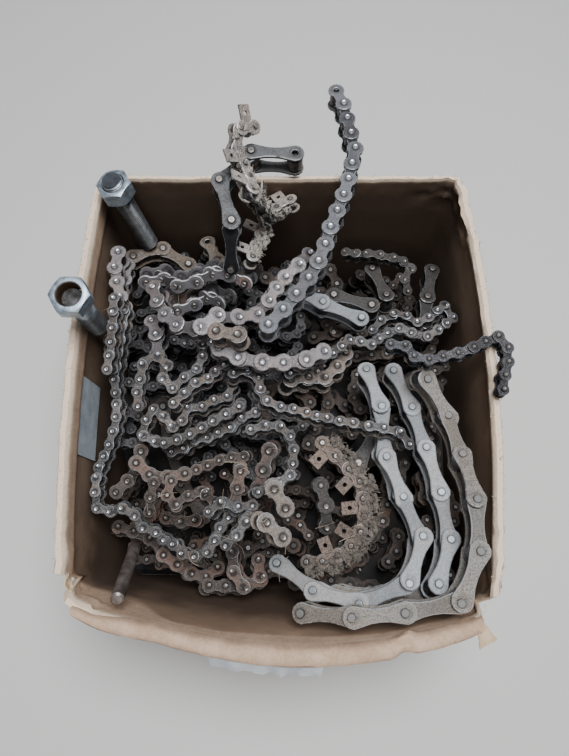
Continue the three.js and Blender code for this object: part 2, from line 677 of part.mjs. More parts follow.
// Hidden chain under the lengths that show, as one plain solid between the walls
function hiddenHeap() {
  const columns = LEVEL_X.length - 1;
  const rows = LEVEL_Y.length - 1;
  const lump = new THREE.BoxGeometry(columns, rows, 1, columns, rows, 1);
  const p = lump.attributes.position;
  for (let k = 0; k < p.count; k += 1) {
    const i = Math.round(p.getX(k) + columns / 2);
    const j = rows - Math.round(p.getY(k) + rows / 2);
    p.setXYZ(k, LEVEL_X[i], LEVEL_Y[j], p.getZ(k) > 0 ? LEVELS[j][i] : BOARD + CLEAR);
  }
  return solid(lump).intersect(boardPrism(BOARD + CLEAR, BOARD, CARTON_HEIGHT + 20, 5));
}

// Studs, nuts and the loose pin
const STUD_RADIUS = 10;
const NUT_ACROSS_FLATS = 30;
const NUT_HEIGHT = 16;
const PIN_RADIUS = 5.6;

function between(a, b) {
  const along = b.clone().sub(a).normalize();
  const turn = new THREE.Quaternion().setFromUnitVectors(new THREE.Vector3(0, 0, 1), along);
  return new THREE.Matrix4().compose(a.clone().add(b).multiplyScalar(0.5), turn, new THREE.Vector3(1, 1, 1));
}

function rod(a, b, radius, sides) {
  const bar = new THREE.CylinderGeometry(radius, radius, a.distanceTo(b), sides);
  bar.rotateX(Math.PI / 2);
  bar.applyMatrix4(between(a, b));
  return solid(bar);
}

function nut(a, b) {
  const ring = new THREE.Shape();
  for (let k = 0; k < 6; k += 1) {
    const angle = THREE.MathUtils.degToRad(60 * k);
    const reach = NUT_ACROSS_FLATS / 2 / Math.cos(Math.PI / 6);
    const point = new THREE.Vector2(reach * Math.cos(angle), reach * Math.sin(angle));
    if (k === 0) ring.moveTo(point.x, point.y);
    else ring.lineTo(point.x, point.y);
  }
  ring.closePath();
  const body = new THREE.ExtrudeGeometry(ring, { depth: NUT_HEIGHT, bevelEnabled: false });
  body.translate(0, 0, -NUT_HEIGHT / 2);
  body.applyMatrix4(between(a, b));
  const reach = b.clone().sub(a).normalize().multiplyScalar(NUT_HEIGHT);
  return solid(body).subtract(rod(a.clone().sub(reach), b.clone().add(reach), STUD_RADIUS + 0.3, 12));
}

// A nut sits on each stud from a share of the stud's length on; one of them is turned off beyond the stud's end
const STUDS = [
  { name: "back", foot: new THREE.Vector3(-143.9, 167.9, 139.1), head: new THREE.Vector3(-157, 173, 244), nutFrom: 0.83 },
  { name: "left", foot: new THREE.Vector3(-172.3, 47, 192.5), head: new THREE.Vector3(-169.7, 40.9, 268), nutFrom: 0.97 },
];

layGround();
addNode("carton", carton(), 0xb89878, 0.9, 0);
addNode("hidden_heap", hiddenHeap(), 0x2e2a27, 0.8, 0.4);
for (const stud of STUDS) {
  const nutAt = stud.foot.clone().lerp(stud.head, stud.nutFrom);
  const nutTop = stud.foot.clone().lerp(stud.head, stud.nutFrom + 0.1);
  addNode("stud_" + stud.name, rod(stud.foot, stud.head, STUD_RADIUS, 12), 0x6c747e, 0.5, 0.8);
  addNode("nut_" + stud.name, nut(nutAt, nutTop), 0xa9b4c4, 0.35, 0.9);
}
for (const strand of STRANDS) {
  const kind = KINDS[strand.kind];
  addNode(strand.name, chain(settle(strand, kind), kind, strand), strand.tone, 0.5, 0.7);
}
addNode(
  "loose_pin",
  rod(new THREE.Vector3(-126, -194.5, 219), new THREE.Vector3(-136, -154, 135), PIN_RADIUS, 10),
  0x5a4440, 0.7, 0.5,
);

export default heap;
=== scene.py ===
# %% [markdown]
# # A carton heaped with roller chain
# A heap of chain is many stiff little links, each able to turn only on its pins. It could be simulated, but
# every length in this heap has a place of its own, so each one is let down along a chosen route, the way the
# construction model does it, and then every link is dressed with real plates, rollers and riveted pins.

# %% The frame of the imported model
import math
import random

import bmesh
import bpy
import numpy as np
from mathutils import Matrix, Vector, noise


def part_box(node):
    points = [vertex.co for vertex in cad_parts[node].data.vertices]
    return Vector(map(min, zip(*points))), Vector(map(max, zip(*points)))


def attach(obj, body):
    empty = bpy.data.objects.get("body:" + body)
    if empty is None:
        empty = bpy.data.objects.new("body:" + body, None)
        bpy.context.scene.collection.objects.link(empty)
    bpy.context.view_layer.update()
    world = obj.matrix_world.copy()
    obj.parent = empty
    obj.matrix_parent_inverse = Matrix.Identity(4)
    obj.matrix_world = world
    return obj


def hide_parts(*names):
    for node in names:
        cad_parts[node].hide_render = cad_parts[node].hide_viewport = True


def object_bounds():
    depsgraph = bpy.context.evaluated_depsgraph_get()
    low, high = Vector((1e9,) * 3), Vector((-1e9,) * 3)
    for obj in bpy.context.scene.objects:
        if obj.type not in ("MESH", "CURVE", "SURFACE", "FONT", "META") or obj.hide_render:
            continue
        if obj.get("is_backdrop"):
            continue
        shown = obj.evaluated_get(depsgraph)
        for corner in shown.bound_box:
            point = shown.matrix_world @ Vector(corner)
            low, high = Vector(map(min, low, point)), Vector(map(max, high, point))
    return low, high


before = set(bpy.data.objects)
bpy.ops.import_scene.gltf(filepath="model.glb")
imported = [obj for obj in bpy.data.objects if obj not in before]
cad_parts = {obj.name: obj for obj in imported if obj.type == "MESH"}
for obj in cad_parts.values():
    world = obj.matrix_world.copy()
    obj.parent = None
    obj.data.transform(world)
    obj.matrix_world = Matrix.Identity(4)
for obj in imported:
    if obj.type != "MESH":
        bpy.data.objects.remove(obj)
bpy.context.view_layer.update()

MM = 0.001
BODY = "root"

# %% [markdown]
# ## Camera, floor and light
# The heap was looked at from above, standing at the carton's front side. A plain pale floor, one large soft
# lamp behind and above the carton and a weak one in front give the same soft look: the far wall's inside
# stays dark and the folded front flap is bright, helped by painted shade and painted light in the board's
# finish.

# %% Camera
EYE = np.array([5.0, -161.0, 695.0])
CAMERA_TILT = 17.3
SENSOR = 36.0
LONG_SIDE, SHORT_SIDE = 756, 569

camera_data = bpy.data.cameras.new("camera")
camera_data.sensor_width = SENSOR
camera_data.lens = SENSOR * SHORT_SIDE / LONG_SIDE
camera_data.clip_start = 10 * MM
camera = bpy.data.objects.new("camera", camera_data)
camera.location = Vector(EYE) * MM
camera.rotation_euler = (math.radians(CAMERA_TILT), 0, 0)
bpy.context.collection.objects.link(camera)
bpy.context.scene.camera = camera
print("camera lens", round(camera_data.lens, 1))


# %% Shader sums as Python expressions
LINK_MAP = "link"


class Wire:
    """An output socket of a finish. Sums on wires add Math nodes."""

    def __init__(self, finish, socket):
        self.finish = finish
        self.socket = socket

    def sum(self, operation, *others):
        return self.finish.node("Math", {"operation": operation}, dict(enumerate((self, *others))))

    def __add__(self, other):
        return self.sum("ADD", other)

    def __sub__(self, other):
        return self.sum("SUBTRACT", other)

    def __rsub__(self, other):
        return self.finish.node("Math", {"operation": "SUBTRACT"}, {0: other, 1: self})

    def __mul__(self, other):
        return self.sum("MULTIPLY", other)

    def __pow__(self, other):
        return self.sum("POWER", other)

    def __abs__(self):
        return self.sum("ABSOLUTE")

    __radd__ = __add__
    __rmul__ = __mul__

    def clamp(self):
        return self.finish.node("Clamp", {}, {0: self})

    def between(self, low, high):
        """0 below low, 1 above high, and a smooth step from one to the other."""
        smooth = {"interpolation_type": "SMOOTHSTEP"}
        return self.finish.node("MapRange", smooth, {0: self, 1: low, 2: high})


class Finish:
    """A material and the nodes that it is made of."""

    def __init__(self, name, **surface):
        self.material = bpy.data.materials.new(name)
        self.material.use_nodes = True
        self.tree = self.material.node_tree
        self.surface = self.tree.nodes["Principled BSDF"]
        self.set(surface)

    def feed(self, socket, value):
        if isinstance(value, Wire):
            self.tree.links.new(value.socket, socket)
        elif isinstance(value, tuple) and len(value) == 3 and socket.type == "RGBA":
            socket.default_value = (*value, 1)
        else:
            socket.default_value = value

    def set(self, inputs):
        for name, value in inputs.items():
            self.feed(self.surface.inputs[name.replace("_", " ").title()], value)

    def node(self, kind, settings, inputs, output=0):
        made = self.tree.nodes.new("ShaderNode" + kind)
        for name, value in settings.items():
            setattr(made, name, value)
        for name, value in inputs.items():
            self.feed(made.inputs[name], value)
        return Wire(self, made.outputs[output])

    def place(self):
        return self.node("TexCoord", {}, {}, "Object")

    def noise(self, scale, detail=3.0, roughness=0.55, stretch=None):
        where = self.place()
        if stretch:
            where = self.node("Mapping", {}, {"Vector": where, "Scale": stretch})
        inputs = {"Vector": where, "Scale": scale, "Detail": detail, "Roughness": roughness}
        return self.node("TexNoise", {}, inputs)

    def mix(self, factor, a, b):
        return self.node("Mix", {"data_type": "RGBA"}, {0: factor, 6: a, 7: b}, 2)

    def axis(self, vector, letter):
        return self.node("SeparateXYZ", {}, {0: vector}, letter)

    def facing_up(self):
        return self.axis(self.node("NewGeometry", {}, {}, "Normal"), "Z")

    def on_link(self):
        """Where a place lies along its link and across it, with 0.5, 0.5 in the middle."""
        link_map = self.node("UVMap", {"uv_map": LINK_MAP}, {})
        return self.axis(link_map, "X"), self.axis(link_map, "Y")

    def attribute(self, name):
        return self.node("Attribute", {"attribute_name": name}, {}, "Fac")

    def bump(self, height, strength, distance):
        return self.node("Bump", {}, {"Height": height, "Strength": strength, "Distance": distance})


# %% Floor, lamps and sky
FLOOR_SIDE = 8.0
FLOOR_COLOUR = (0.62, 0.61, 0.59)
SKY_COLOUR = (0.86, 0.9, 0.96, 1)
SKY_STRENGTH = 0.17
HEAP_MIDDLE = (0, -0.02, 0.15)

floor_mesh = bpy.data.meshes.new("floor")
shape = bmesh.new()
bmesh.ops.create_grid(shape, x_segments=1, y_segments=1, size=FLOOR_SIDE / 2)
shape.to_mesh(floor_mesh)
shape.free()
floor = bpy.data.objects.new("floor", floor_mesh)
bpy.context.collection.objects.link(floor)
floor_mesh.materials.append(Finish("pale_floor", base_color=FLOOR_COLOUR, roughness=0.8).material)
floor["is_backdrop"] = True


def lamp(name, place, aim, size, watts, colour):
    data = bpy.data.lights.new(name, "AREA")
    data.shape = "DISK"
    data.size = size
    data.energy = watts
    data.color = colour
    made = bpy.data.objects.new(name, data)
    made.location = place
    made.rotation_euler = (Vector(aim) - Vector(place)).to_track_quat("-Z", "Y").to_euler()
    bpy.context.collection.objects.link(made)


lamp("sky_window", (0.2, 0.17, 1.9), HEAP_MIDDLE, 0.95, 51, (0.95, 0.97, 1.0))
lamp("front_fill", (-0.1, -1.2, 1.5), HEAP_MIDDLE, 1.2, 5, (1.0, 0.98, 0.95))
world = bpy.data.worlds.new("soft_sky")
world.use_nodes = True
sky = world.node_tree.nodes["Background"].inputs
sky["Color"].default_value = SKY_COLOUR
sky["Strength"].default_value = SKY_STRENGTH
bpy.context.scene.world = world
print("lamps", len(bpy.data.lights))

# %% [markdown]
# ## Where every link lies
# The construction model lets each length of chain down along a route as it is seen from the camera, on a map
# of how high the heap already reaches. The links have to lie in exactly the same places here, so the same
# steps are repeated: find the height along the route, walk along it one pitch at a time, lift links that
# would cut into what is below, and let the whole length down until it rests.

# %% Measures of the carton and the chains, in millimetres
CARTON_HALF_X = 172
CARTON_HALF_Y = 187
RIM = 220
CARTON_CORNER = 14
BOARD = 5
RIGHT_BULGE = {"out": 20, "middle": 20, "reach": 215}
LEFT_BULGE = {"out": -15.8, "middle": 15, "reach": 235}
BACK_BULGE = 9
# The front wall leans out by this much, and by as much as the twist more or less at its ends
FRONT_LEAN = 10
FRONT_TWIST = 10
FRONT_BOW = 38
# The side and back bulges grow with the height to this power, up to this height and a little beyond
BULGE_HEIGHT = 0.82 * RIM
BULGE_POWER = 0.8
BULGE_MOST = 1.1
FLAP_DROP = 62
FLAP_WEST, FLAP_EAST = -128, 158
CLEAR = 0.25
WALL_ROOM = 3

# Of each kind: pitch, half height of a plate and at its waist, width over the pins and of an inner link
KINDS = {
    "small": dict(pitch=12.7, plate=5.7, waist=0, width=16.4, inner=10),
    "medium": dict(pitch=19.05, plate=8.5, waist=0, width=23.6, inner=15),
    "worn": dict(pitch=15.875, plate=7.3, waist=0, width=19.4, inner=12),
    "big": dict(pitch=41.4, plate=8.8, waist=5.6, width=28, inner=18),
    "long": dict(pitch=34, plate=9.4, waist=5.4, width=19, inner=12),
    "tabbed": dict(pitch=15.875, plate=7, waist=0, width=16.5, inner=10),
}
TAB_LENGTH = 15
TAB_WIDTH = 12
TAB_THICK = 2.4
TAB_OVERLAP = 2

# %% How high the hidden part of the heap reaches
LEVEL_X = np.array([-200, -140, -80, -20, 40, 100, 160, 200])
LEVEL_Y = np.array([200, 140, 80, 20, -40, -100, -160, -250])
LEVELS = [
    [118, 112, 104, 104, 84, 70, 64, 64],
    [128, 118, 112, 116, 100, 84, 84, 80],
    [140, 136, 146, 154, 130, 122, 130, 120],
    [148, 152, 162, 162, 134, 138, 146, 136],
    [150, 158, 170, 162, 130, 130, 160, 150],
    [96, 102, 108, 124, 126, 132, 160, 152],
    [72, 76, 82, 96, 110, 134, 158, 152],
    [66, 70, 76, 90, 104, 126, 150, 148],
]

# %% Lengths of chain from the bottom of the heap up, each with the places where it is seen
def course(name, *route, **more):
    """One length of chain. The first word of its name says of which kind it is."""
    return {"name": "chain_" + name, "kind": name.split("_")[0], "route": route, **more}


STRANDS = [
    course("big_dark", (97.5, 60), (85, 82), (92, 112)),
    course("big_right", (146, 86), (130, 52), (128, 20)),
    course("long_left", (-146, 104), (-122, 121), (-101, 107), (-76, 92), seat=3),
    course("long_back", (-66, 126), (-58, 104), (-53, 84)),
    course("small_right_back", (63.5, 108), (76.5, 105.5), (88, 104), (99.7, 103.4), (110.5, 102),
           (122, 92.5), (116, 82.6), (117.5, 66)),
    course("medium_wall", (-165, 91), (-159, 76), (-155, 60), (-152, 41), (-154, 23), (-152, 5)),
    course("medium_low_edge", (-93.5, 56), (-81, 60), (-67.5, 68), (-55, 67), (-44, 58), on_edge=True),
    course("medium_on_edge", (-122.5, 84), (-104, 87.5), (-95, 80), (-84, 81), (-71.5, 86), (-57, 94.5),
           (-47.5, 94), (-38.5, 86), (-24, 80), on_edge=True),
    course("big_lowest", (48, -208), (88, -203), (120, -190)),
    course("big_under", (66, -88), (90, -48)),
    course("big_shadow", (50, 62), (90, 50)),
    course("medium_inside", (34, -106), (38.5, -124), (38.5, -143)),
    course("big_inner", (76, -12), (88, -47), (88, -84.5), (102, -120), (115.5, -155), (97, -187.5),
           (62, -197), (26, -187), (1, -168), start_high=170),
    course("big_middle", (99, -11), (114, -46), (123, -82), (133, -121.5), (136, -158), (119, -191),
           start_high=170),
    course("big_outer", (123, -17), (139, -49), (147, -87), (155, -123.5), (156, -163), (138, -199),
           (102, -217), (64, -218.5), (25, -215), (0, -190), start_high=170),
    course("big_crossing", (6, 69), (41, 54.5), (78, 38)),
    course("small_floor", (-77.7, -97.7), (-80, -87), (-71, -93), (-61.6, -92.5), (-53.8, -85.2),
           (-43.4, -83.8), (-32.6, -81), (-21.4, -82.4)),
    course("worn_left", (-139.5, -140.5), (-124, -142.5), (-110, -145), (-97, -152), (-85, -165)),
    course("worn_middle", (-115, -76), (-116, -92), (-122, -100), (-134, -113)),
    course("worn_front", (-90, -133), (-79, -136), (-67.7, -134), (-57.2, -135.6)),
    course("worn_valley", (-92, -161), (-76, -171), (-62, -180), (-50, -173), (-38, -164)),
    course("worn_lowest", (-56, -192), (-38, -195), (-18, -191)),
    course("worn_rusty", (-118, -88), (-106, -98), (-93, -101), (-78, -98)),
    course("worn_upright", (-32, -92), (-34, -104), (-36, -120)),
    course("worn_loop", (-35.3, -148), (-35.3, -164), (-33.8, -177.7), (-22.7, -186.7), (-10.7, -175.5),
           (-20, -162)),
    course("medium_corner", (-161, 105), (-153.5, 90), (-147.5, 76), (-143, 61), (-140, 46)),
    course("small_edge", (-142.5, 57), (-135, 44.7), (-139.6, 33.7), (-138.4, 20.4), (-140, 8.2),
           (-140, -4.5), (-141.6, -16.4), (-138, -29), (-136.7, -41.5), (-136.3, -53.5), (-139, -64.7),
           (-140.5, -76.4), (-145.4, -85.2), (-151.7, -92.5), (-158.2, -98.8), (-160, -109.3),
           (-157.5, -119.4), (-152, -129.4), (-142.2, -128), (-132.8, -125.8), (-123.4, -122.8),
           (-115, -129.8), (-109.3, -139), (-99, -141.8), (-90.7, -148.6), (-81.5, -152.8), (-73, -160.6),
           (-62, -161.2), (-52.7, -154.8), (-48.3, -142), (-43.3, -133.3), (-35, -126.4)),
    course("small_corner", (-148, 60), (-148, 49), (-147.3, 36.3), (-147.3, 22.8), (-147.4, 9.4),
           (-148.6, -13.7)),
    course("small_brown", (-102.3, -102.8), (-104.5, -112.7), (-105.4, -124.4), (-99.3, -134)),
    course("medium_brown", (-6, -76), (-12, -96), (-18, -116)),
    course("small_hook", (-92.4, -100), (-95.4, -111.3), (-96, -122.4), (-86, -121.4), (-78, -115),
           (-68.3, -112), (-58.5, -105.6), (-57.6, -117.8)),
    course("small_low", (-86.7, -79), (-76, -75.4), (-68, -68.2), (-57.3, -67.2), (-48, -62), (-37, -57.2),
           (-28.6, -47.7), (-17.5, -45.5)),
    course("small_ring", (-23.8, -58.4), (-12.3, -54.7), (-0.3, -54.3), (8.5, -63), (13, -75),
           (11.3, -86.6), (9.2, -98.4), (-2, -103.5), (-12.7, -108.3), (-23, -112.4)),
    course("small_knot", (-39, -22), (-44, -33), (-55, -35.5), (-66.2, -42), (-78.4, -41.5), (-80.3, -53.5),
           (-91, -59.3), (-98.2, -48.8), (-108.8, -41.5), (-111, -53), (-114.7, -65), (-103.4, -69),
           (-90.4, -70.8), (-79.5, -65.4), (-68.5, -60), (-58.4, -54), (-48.6, -47), (-37, -43),
           (-28.4, -33.3)),
    course("small_second", (-66, 24), (-67, 10), (-66, -4), (-76, -9), (-85, -18), (-93, -27)),
    course("small_turn", (-59, 21), (-54.4, 8.8), (-46, -1.8), (-55, -9.8), (-63.3, -17.5), (-74.4, -21),
           (-81, -30), (-89.4, -38.2)),
    course("small_left", (-125, -32), (-127, -20), (-124.6, -8.7), (-123.5, 4.5), (-124, 17),
           (-111.3, 13.8), (-103, 5.6), (-105.3, -7.6), (-96.8, -16), (-89.6, -26)),
    course("small_diagonal", (-39.5, -12.5), (-31.7, -10.2), (-20.2, -6.8), (-17.7, -20.2), (-16, -33),
           (-5.3, -40.4), (6.2, -42.5), (17.6, -44.7), (28.3, -49), (39.4, -51), (49.7, -54), (61.4, -55.4),
           (72, -58), (83.3, -59.4), (94, -61.2), (104.3, -63.6), (107, -74.7)),
    course("small_front", (-54, -128), (-45, -121), (-34, -125), (-22, -124), (-27, -134), (-34, -145),
           (-43, -153)),
    course("medium_left", (-129.5, 65), (-122, 44), (-124, 26)),
    course("medium_dusty", (7.7, -19), (25.5, -16), (44, -18), (54, -0.6), (62, 11)),
    course("medium_curl", (-4, -108), (8.5, -128.5)),
    course("medium_curl_low", (-13, -135), (6.5, -151.5)),
    course("small_loop", (86, 31), (94.5, 40.6), (106, 44.7), (117, 41.4), (126.4, 34), (136, 42),
           (146, 50), (155.7, 57.4), (160, 45.5), (150.5, 39), (140.6, 31.3), (131.3, 24.5), (121.5, 26.8),
           (111.5, 32.5), (101, 31.3), (90.6, 24.8), (80, 17.6), (70, 21), (58.6, 21), (50.5, 11.4),
           (40, 5.5), (29, 1), (18.5, -5.6), (7.8, -9.8), (-3.2, -14.5)),
    course("small_over_rim", (100, 16), (112.5, 14.5), (118.6, 4.5), (129, 1), (139.3, 4.9), (151, 5.6),
           (162, 10), (173.4, 14.2), (184.6, 20), (196.6, 24.8), (201, 15), (201.5, 3.7), (197, -7),
           (194.5, -18), (192.5, -28), slope=0.2, over_rim=True),
    course("medium_cross", (-50, 13), (-38.5, 6.3), (-21.5, 0.5), (-2.2, 0), (17, 0), (32, 8), (45, 12)),
    course("medium_under", (-54, 27), (-36, 24), (-17, 19)),
    course("medium_top", (-111, 69), (-105.5, 52), (-92, 36.5), (-74, 27.5), (-61, 42.5), (-41, 42.5),
           (-21.6, 44.7), (-9.7, 58.6), (-1.5, 76), (11.5, 89), (22.4, 100.7), (30, 112)),
    course("tabbed_back", (-26, 102), (-22, 118), (-16, 133), (-12, 146), tabs=1),
    course("big_back", (15.3, 212.5), (-22, 215), (-62, 214), (-55, 170), (-42, 130), slope=0.12,
           over_rim=True),
    course("tabbed_top", (-30, 176), (-33, 192), (-40, 208), (-46, 224), (-38, 238), (-24, 240), tabs=1,
           slope=0.2, seat=0.5, over_rim=True),
    course("medium_riser", (58, 290), (64, 280), (67, 262), (70, 242), (75, 222), (72, 210), (68, 190),
           (63, 172), (57, 155), (50, 138), (45.6, 125), (41, 107), (32.5, 88), (22.4, 72), (9.8, 55.8),
           (-2.8, 39.4), (-17, 25.6), (-20, 22), slope=0.08, over_rim=True),
    course("tabbed_straw", (38, -67), (53, -82), (68, -98), (72, -116), (72, -134), (66, -148), (52, -160),
           (36, -166), (20, -166), tabs=-1),
]
print("lengths of chain", len(STRANDS))


# %% The carton's walls, which the load has pushed out
def spread(z):
    return np.minimum(BULGE_MOST, (np.maximum(z, 0) / BULGE_HEIGHT) ** BULGE_POWER)


def front_shift(x, z):
    across = x / CARTON_HALF_X
    lean = FRONT_LEAN + FRONT_TWIST * across
    return -(lean + FRONT_BOW * (1 - across * across)) * (z / RIM)


def side_shift(x, y, z):
    out, middle, reach = (np.where(x > 0, RIGHT_BULGE[key], LEFT_BULGE[key]) for key in RIGHT_BULGE)
    along = (y - middle) / reach
    return out * np.maximum(0, 1 - along * along) * spread(z)


def bulged(x, y, z):
    dx = np.abs(x / CARTON_HALF_X) * side_shift(x, y, z)
    dy = (-y / CARTON_HALF_Y) * front_shift(x, z) if y < 0 else (y / CARTON_HALF_Y) * BACK_BULGE * spread(z)
    return float(x + dx), float(y + dy), float(z)


def board_outline(inset):
    """Corners of a rounded rectangle, with four places between each pair of corners."""
    a, b = CARTON_HALF_X - inset, CARTON_HALF_Y - inset
    r = max(2, CARTON_CORNER - inset)
    corners = [(a - r, b - r, 0), (r - a, b - r, 90), (r - a, r - b, 180), (a - r, r - b, 270)]
    points = []
    for side, (cx, cy, start) in enumerate(corners):
        for turn in (0, 45, 90):
            angle = math.radians(start + turn)
            points.append((cx + r * math.cos(angle), cy + r * math.sin(angle)))
        nx, ny, following = corners[(side + 1) % 4]
        angle = math.radians(following)
        x0, y0 = points[-1]
        x1, y1 = nx + r * math.cos(angle), ny + r * math.sin(angle)
        points += [(x0 + part * (x1 - x0), y0 + part * (y1 - y0)) for part in (0.2, 0.4, 0.6, 0.8)]
    return points


def hidden_level(x, y):
    table = np.array(LEVELS, float)
    i = np.searchsorted(LEVEL_X[1:-1], x, side="left")
    j = np.searchsorted(-LEVEL_Y[1:-1], -np.asarray(y), side="left")
    u = (x - LEVEL_X[i]) / (LEVEL_X[i + 1] - LEVEL_X[i])
    v = (y - LEVEL_Y[j]) / (LEVEL_Y[j + 1] - LEVEL_Y[j])
    a, b, c, d = table[j, i], table[j, i + 1], table[j + 1, i], table[j + 1, i + 1]
    return np.maximum(a + u * (b - a) + v * (c - a), d + (1 - u) * (c - d) + (1 - v) * (b - d))


# %% A map of how high the heap reaches at each place
CELL = 1.25
STAMP_GROW = 1.6
MAP_WEST, MAP_SOUTH = -260, -300
MAP_COLUMNS, MAP_ROWS = 416, 512
map_x = MAP_WEST + CELL * np.arange(MAP_COLUMNS)
map_y = MAP_SOUTH + CELL * np.arange(MAP_ROWS)


def window(x0, x1, y0, y1):
    """The part of the map between two pairs of places, as slices, with its own x and y."""
    i0 = max(0, math.ceil((x0 - MAP_WEST) / CELL))
    i1 = min(MAP_COLUMNS - 1, math.floor((x1 - MAP_WEST) / CELL))
    j0 = max(0, math.ceil((y0 - MAP_SOUTH) / CELL))
    j1 = min(MAP_ROWS - 1, math.floor((y1 - MAP_SOUTH) / CELL))
    part = (slice(j0, j1 + 1), slice(i0, i1 + 1))
    return part, map_x[None, part[1]], map_y[part[0], None]


def disc(x, y, radius):
    part, xs, ys = window(x - radius, x + radius, y - radius, y + radius)
    return part, (xs - x) ** 2 + (ys - y) ** 2 <= radius * radius


RIM_STEP = 0.02
FRONT_REACH = 60


def lay_ground():
    """The hidden heap inside the walls, the rim of the walls, and 0 outside them."""
    xs, ys = np.meshgrid(map_x, map_y)
    reach = CARTON_HALF_X - BOARD + np.abs(side_shift(xs, ys, RIM))
    reach = np.where(xs == 0, CARTON_HALF_X - BOARD + np.abs(side_shift(1, ys, RIM)), reach)
    north, south = CARTON_HALF_Y + BACK_BULGE - BOARD, -CARTON_HALF_Y - FRONT_REACH
    inside = (np.abs(xs) < reach) & (ys < north) & (ys > south)
    ground = np.where(inside, hidden_level(xs, ys), 0.0)
    rim = [bulged(x, y, RIM) for x, y in board_outline(BOARD / 2)]
    for k, (x0, y0, _) in enumerate(rim):
        x1, y1, _ = rim[(k + 1) % len(rim)]
        for part in np.arange(0, 1, RIM_STEP):
            cells, hit = disc(x0 + part * (x1 - x0), y0 + part * (y1 - y0), BOARD / 2 + 1)
            ground[cells] = np.where(hit, np.maximum(ground[cells], RIM), ground[cells])
    return ground


height_map = lay_ground()
print("ground reaches", round(float(height_map.max())), "mm")


# %% Places and walks along a route
def placed(seen, z):
    """Where the line of sight to a place on the rim's plane passes a height."""
    scale = (EYE[2] - z) / (EYE[2] - RIM)
    return np.array([EYE[0] + (seen[0] - EYE[0]) * scale, EYE[1] + (seen[1] - EYE[1]) * scale, z])


def support(x, y, radius):
    """How high the heap reaches under a disc."""
    cells, hit = disc(x, y, radius)
    return max(0.0, float(np.where(hit, height_map[cells], 0).max(initial=0)))


def keep_inside(point, radius, half):
    """Moves a place away from the walls, where it isn't above the rim."""
    low = point[2] - half
    if low > RIM:
        return point
    sign = -1 if point[0] < 0 else 1
    room = radius + WALL_ROOM
    limit = CARTON_HALF_X - BOARD + abs(float(side_shift(sign, point[1], low))) - room
    if abs(point[0]) > limit:
        point[0] = sign * limit
    depth = CARTON_HALF_Y - BOARD
    front = -depth + (depth / CARTON_HALF_Y) * float(front_shift(point[0], low)) + room
    back = depth + (depth / CARTON_HALF_Y) * BACK_BULGE * float(spread(low)) - room
    point[1] = min(back, max(front, point[1]))
    return point


def samples(route, step):
    """Evenly spaced places along a route."""
    points = []
    for a, b in zip(route, route[1:]):
        a, b = np.array(a, float), np.array(b, float)
        count = max(1, math.floor(math.dist(a, b) / step + 0.5))
        points += [a + (b - a) * m / count for m in range(count)]
    return points + [np.array(route[-1], float)]


def walk(points, pitch):
    """Pins one pitch apart along a line of points."""
    pins = [points[0].copy()]
    last = points[0]
    for a, b in zip(points, points[1:]):
        while True:
            d, f = b - a, a - last
            qa, qb, qc = d @ d, 2 * (f @ d), f @ f - pitch * pitch
            root = qb * qb - 4 * qa * qc
            if root < 0:
                break
            t = (-qb + math.sqrt(root)) / (2 * qa)
            if t < 0 or t > 1:
                break
            pin = a + d * t
            if math.dist(pin, last) < 0.5 * pitch:
                break
            pins.append(pin)
            last = pin
    return pins


def both_ways(count):
    """The numbers of neighbours along a line, first from its start to its end and then back."""
    yield from ((k, k - 1) for k in range(1, count))
    yield from ((k, k + 1) for k in range(count - 2, -1, -1))


# %% The blocks that a link takes up
# Three corners make a plate's round end, a little further out than the round itself
CORNER_GROW = 1.06
# Half heights and reach, as shares of a plate's: of a bar, and of an outer link that lies on its edge
BAR_SHARE = 0.85
EDGEWAYS_SHARE = 0.92
EDGEWAYS_REACH = 0.8


def plate_outline(length, kind, waist):
    steps = (-90, -45, 0, 45, 90) if kind["waist"] else (-60, 0, 60)
    reach = kind["plate"] * (1 if kind["waist"] else CORNER_GROW)
    points = []
    for sign in (1, -1):
        for turn in steps:
            c, s = math.cos(math.radians(turn)), math.sin(math.radians(turn))
            points.append((sign * (length / 2 + reach * c), sign * reach * s))
        if waist:
            points.append((0, sign * waist))
    return points


def rectangle(x0, x1, y0, y1):
    return [(x0, y0), (x1, y0), (x1, y1), (x0, y1)]


def link_basis(a, b):
    """A link's axes along the chain, across it and up through its pins, and its middle."""
    along = (b - a) / np.linalg.norm(b - a)
    side = np.cross((0, 0, 1), along)
    side /= np.linalg.norm(side)
    return along, side, np.cross(along, side), (a + b) / 2


def link_blocks(pins, kind, strand, k):
    """The upright blocks of one link: each has the link's axes, an outline across them, and two levels."""
    a, b = pins[k], pins[k + 1]
    basis = link_basis(a, b)
    length = math.dist(a, b)
    outer = k % 2 == 0
    half = kind["width" if outer else "inner"] / 2
    high = kind["waist"] or BAR_SHARE * kind["plate"]
    if strand.get("on_edge"):
        tall = EDGEWAYS_SHARE * kind["plate"] if outer else high
        reach = length / 2 + (EDGEWAYS_REACH * kind["plate"] if outer else 0)
        return [(basis, rectangle(-reach, reach, -half, half), -tall, tall)]
    bar = rectangle(-length / 2, length / 2, -high, high)
    cover = plate_outline(length, kind, 0) if outer else bar
    blocks = [(basis, cover, -half, half)]
    if outer and strand.get("tabs"):
        start = kind["plate"] - TAB_OVERLAP
        sides = (start, start + TAB_LENGTH) if strand["tabs"] > 0 else (-start - TAB_LENGTH, -start)
        tab = rectangle(-TAB_WIDTH / 2, TAB_WIDTH / 2, *sides)
        blocks.append((basis, tab, half - 2 * TAB_THICK, half - TAB_THICK))
    return blocks


def chain_blocks(pins, kind, strand):
    return [block for k in range(len(pins) - 1) for block in link_blocks(pins, kind, strand, k)]


